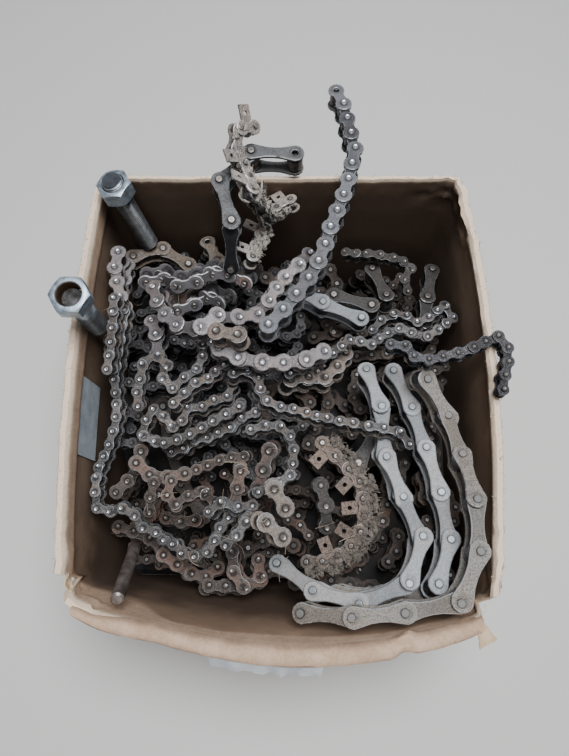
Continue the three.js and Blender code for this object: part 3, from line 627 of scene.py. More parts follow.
def over_face(block, level, grow):
    """The cells under a block's outline at one level, with the level's height over each of them."""
    (along, side, up, middle), outline, _, _ = block
    face = np.array([middle + x * along + y * side + level * up for x, y in outline])
    x0, y0 = face[:, 0].min() - grow, face[:, 1].min() - grow
    x1, y1 = face[:, 0].max() + grow, face[:, 1].max() + grow
    part, xs, ys = window(x0, x1, y0, y1)
    edge = np.roll(face, -1, axis=0) - face
    hit = np.ones((ys.size, xs.size), bool)
    for (dx, dy, _), (fx, fy, _) in zip(edge, face):
        hit &= dx * (ys - fy) - dy * (xs - fx) >= -grow * math.hypot(dx, dy)
    height = face[0, 2] - (up[0] * (xs - face[0, 0]) + up[1] * (ys - face[0, 1])) / up[2]
    return part, hit, height


# %% Letting one length of chain down
LEVELS_OF_BLOCK = (0, 0.25, 0.5, 0.75, 1)
CHECK_GROW = 0.3
PASSES = 4
SLOPE = 0.4
STEPS_A_LINK = 3


def slices(block):
    return [block[2] + part * (block[3] - block[2]) for part in LEVELS_OF_BLOCK]


def shortfall(blocks):
    """How far blocks have to be lifted to clear the heap, or let down where the number is negative."""
    most = -math.inf
    for block in blocks:
        for level in slices(block):
            part, hit, height = over_face(block, level, CHECK_GROW)
            if hit.any():
                most = max(most, float((height_map[part] + CLEAR - height)[hit].max()))
    return most


def stamp(blocks):
    """Adds blocks to the map of the heap."""
    for block in blocks:
        for level in slices(block):
            part, hit, height = over_face(block, level, STAMP_GROW)
            height_map[part] = np.where(hit, np.maximum(height_map[part], height), height_map[part])


def settle(strand):
    """The pins of one length of chain, where it comes to rest on the heap."""
    kind = KINDS[strand["kind"]]
    flat, free = not strand.get("on_edge"), strand.get("over_rim")
    half, radius = kind["width"] / 2, kind["plate"]
    if not flat:
        half, radius = radius, half
    seen = samples(strand["route"], kind["pitch"] / STEPS_A_LINK)

    def within(point):
        return point if free else keep_inside(point, radius, half)

    heights = []
    for place in seen:
        z = strand.get("start_high") or (RIM + half if free else RIM)
        for _ in range(PASSES):
            z = support(*within(placed(place, z))[:2], radius) + half + CLEAR
        heights.append(z)
    slope = strand.get("slope", SLOPE)
    for k, beside in both_ways(len(seen)):
        heights[k] = max(heights[k], heights[beside] - slope * math.dist(seen[k], seen[beside]))
    pins = walk([within(placed(p, z)) for p, z in zip(seen, heights)], kind["pitch"])
    for _ in range(PASSES):
        for k in range(len(pins) - 1):
            lift = max(0, shortfall(link_blocks(pins, kind, strand, k)))
            pins[k][2] += lift
            pins[k + 1][2] += lift
    sink = shortfall(chain_blocks(pins, kind, strand)) - strand.get("seat", 0)
    for pin in pins:
        pin[2] += sink
    stamp(chain_blocks(pins, kind, strand))
    return pins


# %% Settle every length and compare it with its solid
AGREEMENT = 0.5 * MM


def block_corners(block):
    (along, side, up, middle), outline, low, high = block
    return [middle + x * along + y * side + z * up for x, y in outline for z in (low, high)]


pins_of = {}
worst = 0
for strand in STRANDS:
    pins_of[strand["name"]] = settle(strand)
    blocks = chain_blocks(pins_of[strand["name"]], KINDS[strand["kind"]], strand)
    corners = np.array([corner for block in blocks for corner in block_corners(block)]) * MM
    low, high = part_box(strand["name"])
    apart = max(np.abs(corners.min(axis=0) - low).max(), np.abs(corners.max(axis=0) - high).max())
    if apart > AGREEMENT:
        print("differs from its solid:", strand["name"], round(apart / MM, 2), "mm")
    worst = max(worst, apart)
print("links", sum(len(p) - 1 for p in pins_of.values()), "furthest from a solid", round(worst / MM, 3), "mm")

# %% [markdown]
# ## What a link is made of
# A roller chain has outer links, two plates riveted onto pins, and inner links, two plates pressed onto
# bushings that carry the rollers. A plate starts as one vertex spun round a pin hole's centre, which gives
# the round end. The mirror gives the other end, and the waist between them is one more vertex on each side.
# The face is then extruded to the plate's thickness and its visible edge is bevelled, so that light catches
# it as on a stamped plate; the bevel also gets a brighter finish, bare rubbed steel with a painted highlight.
# Every shape is made once for each size of chain and copied, so it has only a few dozen faces.

# %% Measures of the parts of each kind of chain
# In millimetres: thickness of a plate, radius of pin and roller, half width of a plate's waist, how far a
# pin's head stands out, and radius of a plate's end. "round" is the angle that this end is spun through, in
# degrees to each side.
PARTS = {
    "small": dict(thick=1.5, pin=2.2, roller=4.2, waist=3.5, round=116, head=1.1, plate=5.5),
    "medium": dict(thick=2.3, pin=3.2, roller=5.9, waist=4.9, round=118, head=1.5, plate=8.2),
    "worn": dict(thick=1.9, pin=2.6, roller=5.0, waist=4.6, round=114, head=1.1, plate=7.0),
    "big": dict(thick=3.0, pin=3.7, roller=7.6, waist=5.3, round=116, head=1.9, plate=8.8),
    "long": dict(thick=2.4, pin=3.4, roller=6.0, waist=5.2, round=116, head=1.4, plate=9.1),
    "tabbed": dict(thick=2.0, pin=2.5, roller=4.9, waist=4.3, round=114, head=1.1, plate=6.8),
}
PLATE, PIN, ROLLER, INNER_PLATE, RUBBED_AND_HIGHLIT_EDGE = 0, 1, 2, 3, 4
ARC_STEPS = 8
PIN_SIDES = {"small": 10, "medium": 12, "worn": 10, "big": 18, "long": 16, "tabbed": 10}
# The hollow between a plate's round ends, as shares of the pitch and of the waist
HOLLOW = ((-0.18, 1.08), (0, 1), (0.18, 1.08))
HOLE_SIDES = 14
# Inner plates are a little smaller than outer ones, and stand out a little from the inner link's solid
INNER_SHARE = 0.97
INNER_OUT = 0.5
# The bevel of a plate's edge is this share of its thickness, and this much on top
BEVEL_SHARE, BEVEL_MORE = 0.2, 0.2
# The link map of a pin and its roller is as wide as this many pin radii
PIN_MAP = 2.2


def outline_face(shape, radius, pitch, waist, spun, steps, hole):
    """A flat plate with round ends and a waist, and a hole in one end where that end's pin is missing."""
    start = math.radians(-spun)
    first = Vector((pitch / 2 + radius * math.cos(start), radius * math.sin(start), 0))
    tip = bmesh.ops.create_vert(shape, co=first)["vert"]
    turn = {"cent": (pitch / 2, 0, 0), "axis": (0, 0, 1), "angle": math.radians(2 * spun)}
    bmesh.ops.spin(shape, geom=tip, steps=steps, use_duplicate=False, **turn)
    arc = shape.verts[:] + shape.edges[:]
    bmesh.ops.mirror(shape, geom=arc, axis="X", merge_dist=-1)
    for side in (-1, 1):
        ends = [v for v in shape.verts if len(v.link_edges) == 1 and v.co.y * side > 0]
        ends.sort(key=lambda v: v.co.x)
        places = [(x * pitch, side * y * waist, 0) for x, y in HOLLOW]
        hollow = [bmesh.ops.create_vert(shape, co=place)["vert"][0] for place in places]
        path = [ends[0], *hollow, ends[1]]
        for edge in zip(path, path[1:]):
            shape.edges.new(edge)
    if not hole:
        return bmesh.ops.contextual_create(shape, geom=shape.edges[:])["faces"]
    turned = Matrix.Translation((-pitch / 2, 0, 0))
    bmesh.ops.create_circle(shape, segments=HOLE_SIDES, radius=hole, cap_ends=False, matrix=turned)
    bmesh.ops.triangle_fill(shape, use_beauty=True, edges=shape.edges[:])
    return shape.faces[:]


def map_link(shape, pitch):
    """Writes each corner's place in its link into a UV map, with the plate's middle at (0.5, 0.5)."""
    layer = shape.loops.layers.uv.new(LINK_MAP)
    for face in shape.faces:
        for corner in face.loops:
            corner[layer].uv = (corner.vert.co.x / pitch + 0.5, corner.vert.co.y / pitch + 0.5)


def finished(shape, name):
    """The mesh of a shape, with its faces turned outward."""
    bmesh.ops.recalc_face_normals(shape, faces=shape.faces)
    mesh = bpy.data.meshes.new(name)
    shape.to_mesh(mesh)
    shape.free()
    return mesh


def bevel(shape, edges, offset, segments=1):
    """Bevels edges, and gives the faces that this makes."""
    settings = {"profile": 0.5, "affect": "EDGES", "material": -1}
    return bmesh.ops.bevel(shape, geom=edges, offset=offset, segments=segments, **settings)["faces"]


def push_out(shape, faces, height):
    """Extrudes flat faces along the z axis."""
    pushed = bmesh.ops.extrude_face_region(shape, geom=faces)["geom"]
    raised = [v for v in pushed if isinstance(v, bmesh.types.BMVert)]
    bmesh.ops.translate(shape, verts=raised, vec=(0, 0, height))


def add_cylinder(shape, radius, length, sides):
    size = {"radius1": radius, "radius2": radius, "depth": length}
    return bmesh.ops.create_cone(shape, cap_ends=True, segments=sides, **size)["verts"]


def plate_pair(kind_name, outer, steps=ARC_STEPS, bevelled=True, hole=0):
    """Two plates of one link, at the height that they take on their pins."""
    kind, parts = KINDS[kind_name], PARTS[kind_name]
    thick = parts["thick"]
    reach = kind["width"] / 2 - parts["head"] if outer else kind["inner"] / 2 + INNER_OUT
    radius = parts["plate"] * (1 if outer else INNER_SHARE)
    shape = bmesh.new()
    faces = outline_face(shape, radius, kind["pitch"], parts["waist"], parts["round"], steps, hole)
    push_out(shape, faces, thick)
    high = [e for e in shape.edges if all(v.co.z > thick / 2 for v in e.verts)]
    top = [e for e in high if e.calc_face_angle(0) > 1]
    for face in shape.faces:
        face.material_index = PLATE if outer else INNER_PLATE
    # Bevel faces take the edge finish: bare rubbed steel with a painted highlight
    if bevelled:
        for face in bevel(shape, top, BEVEL_SHARE * thick + BEVEL_MORE):
            face.material_index = RUBBED_AND_HIGHLIT_EDGE
    bmesh.ops.translate(shape, verts=shape.verts[:], vec=(0, 0, reach - thick))
    everything = shape.verts[:] + shape.edges[:] + shape.faces[:]
    bmesh.ops.mirror(shape, geom=everything, axis="Z", merge_dist=-1)
    map_link(shape, kind["pitch"])
    return finished(shape, kind_name + ("_outer" if outer else "_inner"))


def add_roller(shape, kind_name, sides):
    """A roller with a colour of its own, and the link map of all that the shape holds."""
    parts = PARTS[kind_name]
    before = set(shape.faces)
    add_cylinder(shape, parts["roller"], KINDS[kind_name]["inner"] - 2 * parts["thick"], sides)
    for face in shape.faces:
        if face not in before:
            face.material_index = ROLLER
    map_link(shape, PIN_MAP * parts["pin"])


def pin_and_roller(kind_name, sides, rounding=2, hollow=False):
    """A pin with a riveted head at both ends, which may be hollow, and the roller round its middle."""
    radius = PARTS[kind_name]["pin"]
    shape = bmesh.new()
    add_cylinder(shape, radius, KINDS[kind_name]["width"], sides)
    rims = [e for e in shape.edges if abs(e.verts[0].co.z - e.verts[1].co.z) < 1e-6]
    bevel(shape, rims, 0.3 * radius, rounding)
    if hollow:
        caps = [f for f in shape.faces if len(f.verts) == sides]
        bmesh.ops.inset_individual(shape, faces=caps, thickness=0.4 * radius, depth=-0.16 * radius)
    for face in shape.faces:
        face.material_index = PIN
    add_roller(shape, kind_name, sides)
    return finished(shape, kind_name + "_pin")


OPEN_SIDES = 12
LUG_SIDES = 16
LUG_HOLE = 2.1
LUG_THICK = 1.9


def open_end(kind_name):
    """The plates of an outer link that has lost its pin at one end, and the roller that is left there."""
    shape = bmesh.new()
    add_roller(shape, kind_name, OPEN_SIDES)
    plates = plate_pair(kind_name, True, hole=0.95 * PARTS[kind_name]["pin"])
    return plates, finished(shape, kind_name + "_roller")


def tab_plate(side):
    """A square lug with one hole, which stands off the side of every second link."""
    kind = KINDS["tabbed"]
    shape = bmesh.new()
    square = bmesh.ops.create_circle(shape, segments=LUG_SIDES, radius=1, cap_ends=False)["verts"]
    for v in square:
        v.co /= max(abs(v.co.x), abs(v.co.y))
        v.co.x *= TAB_WIDTH / 2
        v.co.y *= TAB_LENGTH / 2
    bmesh.ops.create_circle(shape, segments=LUG_SIDES, radius=LUG_HOLE, cap_ends=False)
    faces = bmesh.ops.bridge_loops(shape, edges=shape.edges[:])["faces"]
    push_out(shape, faces, -LUG_THICK)
    middle = (0, side * (kind["plate"] - TAB_OVERLAP + TAB_LENGTH / 2), kind["width"] / 2 - TAB_THICK)
    bmesh.ops.translate(shape, verts=shape.verts[:], vec=middle)
    map_link(shape, kind["pitch"])
    return finished(shape, "tab_plate")


HOLLOW_PINS = ("small", "medium", "worn")
TEMPLATES = {}
for name in KINDS:
    hollow = name in HOLLOW_PINS
    pin = pin_and_roller(name, PIN_SIDES[name], 1 if hollow else 2, hollow)
    TEMPLATES[name] = (plate_pair(name, True), plate_pair(name, False), pin)
# Buried links have rounder shapes with fewer faces
PLAIN_STEPS, PLAIN_SIDES = 5, 8
PLAIN = {}
for name in KINDS:
    plain_plates = [plate_pair(name, outer, PLAIN_STEPS, False) for outer in (True, False)]
    PLAIN[name] = (*plain_plates, pin_and_roller(name, PLAIN_SIDES, 1))
for name, meshes in TEMPLATES.items():
    print(name, "faces of outer, inner, pin:", [len(m.polygons) for m in meshes])
TABS = {side: tab_plate(side) for side in (-1, 1)}
OPEN_ENDS = {name: open_end(name) for name in ("medium", "long", "big")}

# %% [markdown]
# ## The carton
# The carton is one board folded into walls. Its mesh is a closed strip: it runs up the outside, over the rim
# and down the inside, and its columns follow the outline that the load has bulged. The rim is frayed, the
# two front corners are torn open, and the front flap is folded over to the outside.


# %% A strip of faces closed into a tube
EDGE = "torn_edge"
INSIDE = "inside"
SHARP = 38
SAME_PLACE = 1e-4


def tube(columns, rows, place, torn={}, inside=()):
    """A grid of faces, bent so that its first and last column meet, with each corner at place(column, row).
    torn says how torn a row is, from 0 to 1, and inside holds the rows that face into a hollow."""
    shape = bmesh.new()
    bmesh.ops.create_grid(shape, x_segments=columns, y_segments=rows, size=1)
    edge = shape.verts.layers.float.new(EDGE)
    within = shape.verts.layers.float.new(INSIDE)
    for v in shape.verts:
        column = round((v.co.x + 1) / 2 * columns) % columns
        row = round((v.co.y + 1) / 2 * rows)
        v.co = Vector(place(column, row))
        v[edge] = torn.get(row, 0)
        v[within] = row in inside
    bmesh.ops.remove_doubles(shape, verts=shape.verts[:], dist=SAME_PLACE)
    return shape


def closed(shape):
    """Fills the open ends of a tube."""
    bmesh.ops.holes_fill(shape, edges=[e for e in shape.edges if e.is_boundary], sides=0)
    return shape


def scaled_mesh(shape, name, soft=False):
    """A mesh in metres. A soft one is shaded smooth, apart from its sharp edges."""
    bmesh.ops.scale(shape, verts=shape.verts[:], vec=(MM, MM, MM))
    for face in shape.faces:
        face.smooth = soft
    mesh = finished(shape, name)
    if soft:
        mesh.set_sharp_from_angle(angle=math.radians(SHARP))
    return mesh


def hum(x, y, z, scale):
    """Smooth random height of a place, from -1 to 1."""
    return noise.noise(Vector((x, y, z)) / scale)


def ramp(value, start, length):
    """0 up to the start, 1 from the end of the length on, and a straight rise in between."""
    return min(1, max(0, (value - start) / length))


def on_border(v):
    """Whether a corner of a new grid lies on its border."""
    return max(abs(v.co.x), abs(v.co.y)) > 0.99


# %% Outline, torn corners and frayed rim
TEARS = [
    {"x": -CARTON_HALF_X - 3, "y": -CARTON_HALF_Y + 7, "turn": -62, "width": 11, "low": 172},
    {"x": CARTON_HALF_X - 2, "y": -CARTON_HALF_Y - 12, "turn": 50, "width": 22, "low": 176},
]
# A tear is this long through the board, and its sides rise to this height
TEAR_REACH = 30
TEAR_TOP = RIM + 30
CREASE = RIM - 50
LONG_EDGE = 20
LONG_PARTS, SHORT_PARTS = 11, 2


def ring(inset):
    """Places along the carton's outline, closer together than its corners."""
    corners = board_outline(inset)
    points = []
    for (x0, y0), (x1, y1) in zip(corners, corners[1:] + corners[:1]):
        parts = LONG_PARTS if math.dist((x0, y0), (x1, y1)) > LONG_EDGE else SHORT_PARTS
        points += [(x0 + (x1 - x0) * k / parts, y0 + (y1 - y0) * k / parts) for k in range(parts)]
    return points


def torn_top(x, y):
    """How high the board still reaches at a place of its outline."""
    top = RIM - 1.6 + 1.4 * hum(x, y, 3, 21) + 1.3 * hum(x, y, 7, 5)
    for tear in TEARS:
        c, s = math.cos(math.radians(tear["turn"])), math.sin(math.radians(tear["turn"]))
        across = (x - tear["x"]) * c + (y - tear["y"]) * s
        beside = (y - tear["y"]) * c - (x - tear["x"]) * s
        if abs(beside) < TEAR_REACH:
            ragged = 1 + 0.35 * hum(x, y, 11, 6)
            top = min(top, tear["low"] + abs(across) * ragged * (TEAR_TOP - tear["low"]) / tear["width"])
    return top


# %% The walls
OUTER_RING, INNER_RING = ring(0), ring(BOARD)
# Rows of the mesh, as shares of the height: on the highest the board is torn, on the one below a little worn
WORN_SHARE, RIM_SHARE = 0.965, 0.985
WALL_SHARES = [0, 0.15, 0.3, 0.45, 0.6, 0.7, 0.76, 0.79, 0.85, 0.865, 0.88, 0.895, 0.91, 0.925, 0.94]
WALL_SHARES += [WORN_SHARE, RIM_SHARE]
WALL_ROWS = [(0.0, share) for share in WALL_SHARES] + [(0.2, 1.0), (0.8, 1.0)]
WALL_ROWS += [(1.0, share) for share in reversed(WALL_SHARES)]
RIM_ROWS = [row for row, (_, share) in enumerate(WALL_ROWS) if share >= RIM_SHARE]
WORN_ROWS = {row: 0.4 for row, (_, share) in enumerate(WALL_ROWS) if share == WORN_SHARE}
TORN_ROWS = {**dict.fromkeys(RIM_ROWS, 1), **WORN_ROWS}
INNER_ROWS = [row for row, (depth, _) in enumerate(WALL_ROWS) if depth > 0.5]
# The side walls' rim is folded in: its thickness, lower edge, tilt, the heights over which it comes out and
# thins again, and how far to the side it starts
FOLD_THICK = 3.2
FOLD_LOW = 197
FOLD_TILT = 0.045
FOLD_EASE = 8
FOLD_THINS = 12
FOLD_SIDE = 150
# The crease below the rim, and the height below which dents fade
CREASE_DEEP, CREASE_WIDE = 1.2, 4
DENTS_FROM = 60
# The board is crumpled near its corners above the crease, more on the right
CRUMPLE_RIGHT, CRUMPLE_LEFT = 3.4, 2.4
# The front wall's left end leans out by this much at the rim, from this far to the left and to the front, and
# from this height on
CORNER_LEAN = 8
LEAN_WEST, LEAN_SOUTH, LEAN_LOW = 92, 172, 165


def folded(x, z):
    """How far the folded rim of a side wall stands out into the carton at a height."""
    risen = (z - FOLD_LOW - FOLD_TILT * x - 2.5 * hum(x, z, 1, 30)) / FOLD_EASE
    if abs(x) < FOLD_SIDE or risen <= 0:
        return 0
    thinner = 0.4 * max(0, (z - RIM + FOLD_THINS) / FOLD_THINS) ** 2
    return FOLD_THICK * math.sqrt(min(1, risen)) * (1 - thinner)


def corner_lean(x, y, z):
    """How far the left end of the front wall and its fold are bent outward."""
    upward = max(0, (z - LEAN_LOW) / (RIM - LEAN_LOW))
    return CORNER_LEAN * ramp(-x, LEAN_WEST, 45) * upward * ramp(-y, LEAN_SOUTH, 12)


def pressed_in(x, y, z, depth):
    """How far the board is pressed in at a place, by its crease, its dents and its crumpled corners."""
    crease = math.exp(-((z - CREASE) / CREASE_WIDE) ** 2) * CREASE_DEEP
    press = crease + 0.7 * hum(x, y, z, 38) + 0.4 * hum(x, y, z, 13)
    press *= min(1, z / DENTS_FROM) * (1 - 0.5 * depth)
    near_corner = y < -140 or (x > 0 and y > 120)
    if abs(x) > 140 and near_corner and z > CREASE:
        crumple = CRUMPLE_RIGHT if x > 0 else CRUMPLE_LEFT
        press += crumple * hum(x, y, z, 10) * min(1, (z - CREASE) / 20)
    return press


def wall_place(column, row):
    """Where a corner of the walls' mesh lies."""
    depth, share = WALL_ROWS[row]
    (x0, y0), (x1, y1) = OUTER_RING[column], INNER_RING[column]
    x, y = x0 + (x1 - x0) * depth, y0 + (y1 - y0) * depth
    bx, by, _ = bulged(x0, y0, 0.8 * RIM)
    top = torn_top(bx, by)
    floor_z = BOARD if depth > 0.5 else 0
    z = floor_z + (top - floor_z) * share
    bx, by, _ = bulged(x, y, z)
    press = pressed_in(bx, by, z, depth)
    fold = depth * folded(bx, z)
    by -= press * by / CARTON_HALF_Y + corner_lean(x, y, z)
    return bx - (press + fold) * bx / CARTON_HALF_X, by, z


def carton_walls():
    return closed(tube(len(OUTER_RING), len(WALL_ROWS) - 1, wall_place, TORN_ROWS, INNER_ROWS))


# %% Loose bits of board and paper
def leaf(columns, rows, place, thick):
    """A thin sheet of faces with the corner (u, v) of each at place(u, v), thickened to a leaf."""
    shape = bmesh.new()
    bmesh.ops.create_grid(shape, x_segments=columns, y_segments=rows, size=1)
    edge = shape.verts.layers.float.new(EDGE)
    for v in shape.verts:
        u, w = (v.co.x + 1) / 2, (v.co.y + 1) / 2
        v[edge] = on_border(v)
        v.co = Vector(place(u, w))
    bmesh.ops.recalc_face_normals(shape, faces=shape.faces)
    bmesh.ops.solidify(shape, geom=shape.faces[:], thickness=thick)
    return shape


def corner_bit(u, w):
    """The light ply that sticks out at the right end of the front fold."""
    reach = u * (1 - 0.55 * w) + 0.06 * hum(u, w, 0, 0.2)
    x = 154 + 18 * reach
    return x, -229 + 17 * w + 5 * reach * (1 - w) + 0.8 * hum(x, w, 0, 5), RIM + 2 - 13 * reach - 2 * w


def shred_place(u, w):
    """Torn ply between the left wall's end and the front fold."""
    y = -172 - 22 * u
    x = -172.5 + 5 * u * u + 2.5 * hum(u, w, 0, 0.35)
    return x, y, 211 - 4 * u - 11 * w * (1 + 0.5 * hum(u, w, 5, 0.15)) + 2 * hum(u, w, 9, 0.25)


def label_place(u, w):
    """A bare label on the inside of the left wall."""
    y, z = -74 + 72 * u, 150 + 44 * w
    x, by, _ = bulged(-CARTON_HALF_X + BOARD + 1.2, y, z)
    return x + 0.5 * hum(y, z, 0, 16) * (1 if 0 < w < 1 else 0.4), by, z


def scrap_place(u, w):
    """A torn scrap of pale paper that hangs out from under the front fold."""
    x = -52 + 86 * u
    torn = 0.4 * hum(x, 0, 2, 9) + 0.25 * hum(x, 0, 5, 3)
    out = 5.8 + 6.5 * w * (1 + torn)
    bx, by, _ = bulged(x, -CARTON_HALF_Y - out, RIM - 3)
    return bx, by, RIM - 3 - 15 * w + 1.2 * hum(x, 20 * w, 0, 12)


# %% The front flap, folded over the rim
FLAP_ROWS = 60
# The flap tapers off from here to its tip at the left end, and is dented from here to its right end
FLAP_NARROWS = FLAP_WEST + 6
FLAP_TIP = -157
FLAP_DENTED = 20
FLAP_PROFILE = [
    (-5.5, RIM - 9), (-5.5, RIM - 4), (-5.2, RIM), (-4.2, RIM + 2.4), (-2.2, RIM + 3.6), (0.4, RIM + 3.9),
    (3.0, RIM + 3.1), (4.8, RIM + 0.9), (5.4, RIM - 3), (5.4, RIM - 10), (5.2, RIM - 20), (5.4, RIM - 34),
    (5.2, RIM - 50), (4.8, RIM - FLAP_DROP + 1), (2.4, RIM - FLAP_DROP + 1), (1.8, RIM - 48),
    (1.7, RIM - 30), (1.7, RIM - 12), (1.4, RIM - 3), (0.2, RIM - 1), (-3.4, RIM - 1.5), (-4.4, RIM - 9),
]


def flap_place(column, row):
    """Where a corner of the flap's mesh lies: columns run round its profile and rows from left to right."""
    out, z = FLAP_PROFILE[column]
    share = row / FLAP_ROWS
    x = FLAP_TIP + (FLAP_EAST - FLAP_TIP) * share
    narrow = max(0, (FLAP_NARROWS - x) / (FLAP_NARROWS - FLAP_TIP))
    out *= 1 - 0.35 * narrow
    if z < RIM:
        z = RIM - (RIM - z) * (1 - 0.8 * narrow)
    if z < RIM - FLAP_DROP + 4 and narrow == 0:
        z += 2.5 + 2.5 * hum(x, 0, 0, 14)
    ends = min(share, 1 - share) * FLAP_ROWS
    if ends < 1:
        x += (1 if share < 0.5 else -1) * (1.5 + 1.5 * hum(x, z, 0, 8))
    crumple = 0.9 * hum(x, z, 5, 26) + 0.6 * hum(x, z, 9, 9)
    dent = ramp(x, FLAP_DENTED, 30) * max(0, hum(x, 0.5 * z, 3, 22) + 0.3 * hum(x, z, 7, 9))
    bx, by, _ = bulged(x, -(CARTON_HALF_Y + out), z)
    by -= corner_lean(x, -CARTON_HALF_Y, min(z, RIM))
    if 0 < column < len(FLAP_PROFILE) - 1:
        by += crumple + 7 * dent
    return bx, by, z + (0.6 * crumple - 6 * dent if z > RIM else 0)


def front_flap():
    return closed(tube(len(FLAP_PROFILE), FLAP_ROWS, flap_place))


# %% [markdown]
# ## Studs, nuts and the loose pin
# The two studs are threaded all along: one tooth of the thread is spun round the axis and moved on a little
# at every step, which makes a screw. A nut is a tube again, whose outer rows are hexagons and whose end rows
# are cut round by the chamfer.


# %% Threads, nuts and pins along the z axis
STUD_RADIUS = 10
NUT_FLATS = 30
NUT_HEIGHT = 16
THREAD_PITCH = 2.5
THREAD_DEPTH = 1.5
TURN_STEPS = 20
NUT_COLUMNS = 48
# Rows of a nut's mesh over its outside, and steps of the thread down its bore
OUTSIDE_ROWS = 8
BORE_ROWS = 13
BORE_CHAMFER = 1.1
CORNER_CHAMFER = 0.75
PIN_COLUMNS = 20


def threaded(length):
    """A stud along the z axis: one tooth of its thread, spun upwards round a core."""
    shape = bmesh.new()
    core = STUD_RADIUS - THREAD_DEPTH
    tooth = [(core - 0.3, 0), (STUD_RADIUS - 0.1, 0.45 * THREAD_PITCH), (core - 0.3, THREAD_PITCH)]
    crest_highlight = shape.verts.layers.float.new(EDGE)
    verts = [bmesh.ops.create_vert(shape, co=(r, 0, z))["vert"][0] for r, z in tooth]
    # The crest of the tooth is marked for a painted highlight
    verts[1][crest_highlight] = 1
    edges = [shape.edges.new(pair) for pair in zip(verts, verts[1:])]
    turns = int(length / THREAD_PITCH) - 1
    steps = turns * TURN_STEPS
    rise = {"dvec": (0, 0, THREAD_PITCH / TURN_STEPS), "angle": 2 * math.pi * turns, "steps": steps}
    bmesh.ops.spin(shape, geom=verts + edges, cent=(0, 0, 0), axis=(0, 0, 1), use_duplicate=False, **rise)
    made = add_cylinder(shape, core, length, TURN_STEPS)
    bmesh.ops.translate(shape, verts=made, vec=(0, 0, length / 2))
    return shape


def hexagon(angle, flat):
    """How far a hexagon reaches at an angle."""
    return flat / math.cos(angle % (math.pi / 3) - math.pi / 6)


def nut_place(column, row):
    """Rows run over the outside from the bottom chamfer to the top one, and back down through the bore."""
    angle = 2 * math.pi * column / NUT_COLUMNS
    flat = NUT_FLATS / 2
    corner = hexagon(angle, flat)
    bevelled = (corner - flat) * CORNER_CHAMFER
    bore = STUD_RADIUS + 0.3
    rows = [(bore, 0.4), (bore + 0.9, 0), (flat - 0.6, 0), (corner, bevelled + 0.3),
            (corner, NUT_HEIGHT - bevelled - 0.3), (flat - 0.6, NUT_HEIGHT),
            (bore + 0.9, NUT_HEIGHT), (bore, NUT_HEIGHT - BORE_CHAMFER)]
    rows += [(bore + 0.25 * (k % 2), NUT_HEIGHT - BORE_CHAMFER - k) for k in range(1, BORE_ROWS + 1)]
    reach, z = rows[row % len(rows)]
    return reach * math.cos(angle), reach * math.sin(angle), z


def nut_shape():
    rows = OUTSIDE_ROWS + BORE_ROWS
    return tube(NUT_COLUMNS, rows, nut_place, inside=[0, *range(OUTSIDE_ROWS - 1, rows + 1)])


def pin_shape(length, radius):
    """A worn pin along the z axis."""
    rows = [(0.0, 0), (radius - 1.5, 0), (radius, 1.2), (radius, 0.3 * length), (radius, 0.7 * length),
            (radius, length - 1.6), (radius - 1.8, length), (0.0, length)]

    def place(column, row):
        angle = 2 * math.pi * column / PIN_COLUMNS
        reach, z = rows[row]
        dent = 0.25 * hum(10 * math.cos(angle), 10 * math.sin(angle), z, 6) if reach == radius else 0
        return (reach - abs(dent)) * math.cos(angle), (reach - abs(dent)) * math.sin(angle), z

    return tube(PIN_COLUMNS, len(rows) - 1, place)


def stand_up(shape, foot, head):
    """Turns a shape made along the z axis so that it runs from foot to head."""
    along = Vector(head) - Vector(foot)
    turned = Vector((0, 0, 1)).rotation_difference(along).to_matrix().to_4x4()
    bmesh.ops.transform(shape, matrix=Matrix.Translation(foot) @ turned, verts=shape.verts[:])
    return shape


# %% [markdown]
# ## Putting the links together
# Each length becomes one mesh. A link's own axes run along the chain, across it and up through its pins, so
# a copy of the right template is turned onto those axes and added. Every copy gets one random number of its
# own, which the finishes read, because no two plates of an old chain have the same colour.


# %% One mesh from many turned copies
TONE = "tone"
dice = random.Random(7)


def add_copy(shape, template, matrix, tone):
    """Adds a turned copy of a mesh to a shape, all of it in one tone."""
    copy = template.copy()
    copy.transform(matrix)
    values = copy.attributes.new(TONE, "FLOAT", "POINT")
    values.data.foreach_set("value", [tone] * len(copy.vertices))
    shape.from_mesh(copy)
    bpy.data.meshes.remove(copy)


def axes_matrix(along, side, up, middle):
    turned = Matrix((along, side, up)).transposed().to_4x4()
    return Matrix.Scale(MM, 4) @ Matrix.Translation(middle) @ turned


def new_piece(name, mesh, finishes, slot, *nodes):
    for finish in finishes:
        mesh.materials.append(finish.material)
    piece = bpy.data.objects.new(name, mesh)
    bpy.context.collection.objects.link(piece)
    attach(piece, BODY)
    if nodes:
        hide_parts(*nodes)
    return piece


def made_piece(name, shape, finishes, slot, *nodes):
    """A piece from a shape whose measures are in metres already."""
    mesh = bpy.data.meshes.new(name)
    shape.to_mesh(mesh)
    shape.free()
    return new_piece(name, mesh, finishes, slot, *nodes)


def tipped(side, up, degrees):
    """A link's two cross axes, turned about the chain. At 90 degrees a length stands on its edge."""
    c, s = math.cos(math.radians(degrees)), math.sin(math.radians(degrees))
    return c * side + s * up, c * up - s * side


def pin_axes(pins, k):
    """Axes at a pin, which lie halfway between those of the links on both sides."""
    before = link_basis(pins[k - 1], pins[k]) if k > 0 else link_basis(pins[0], pins[1])
    after = link_basis(pins[k], pins[k + 1]) if k + 1 < len(pins) else before
    along = before[0] + after[0]
    along /= np.linalg.norm(along)
    side = np.cross((0, 0, 1), along)
    side /= np.linalg.norm(side)
    return along, side, np.cross(along, side)


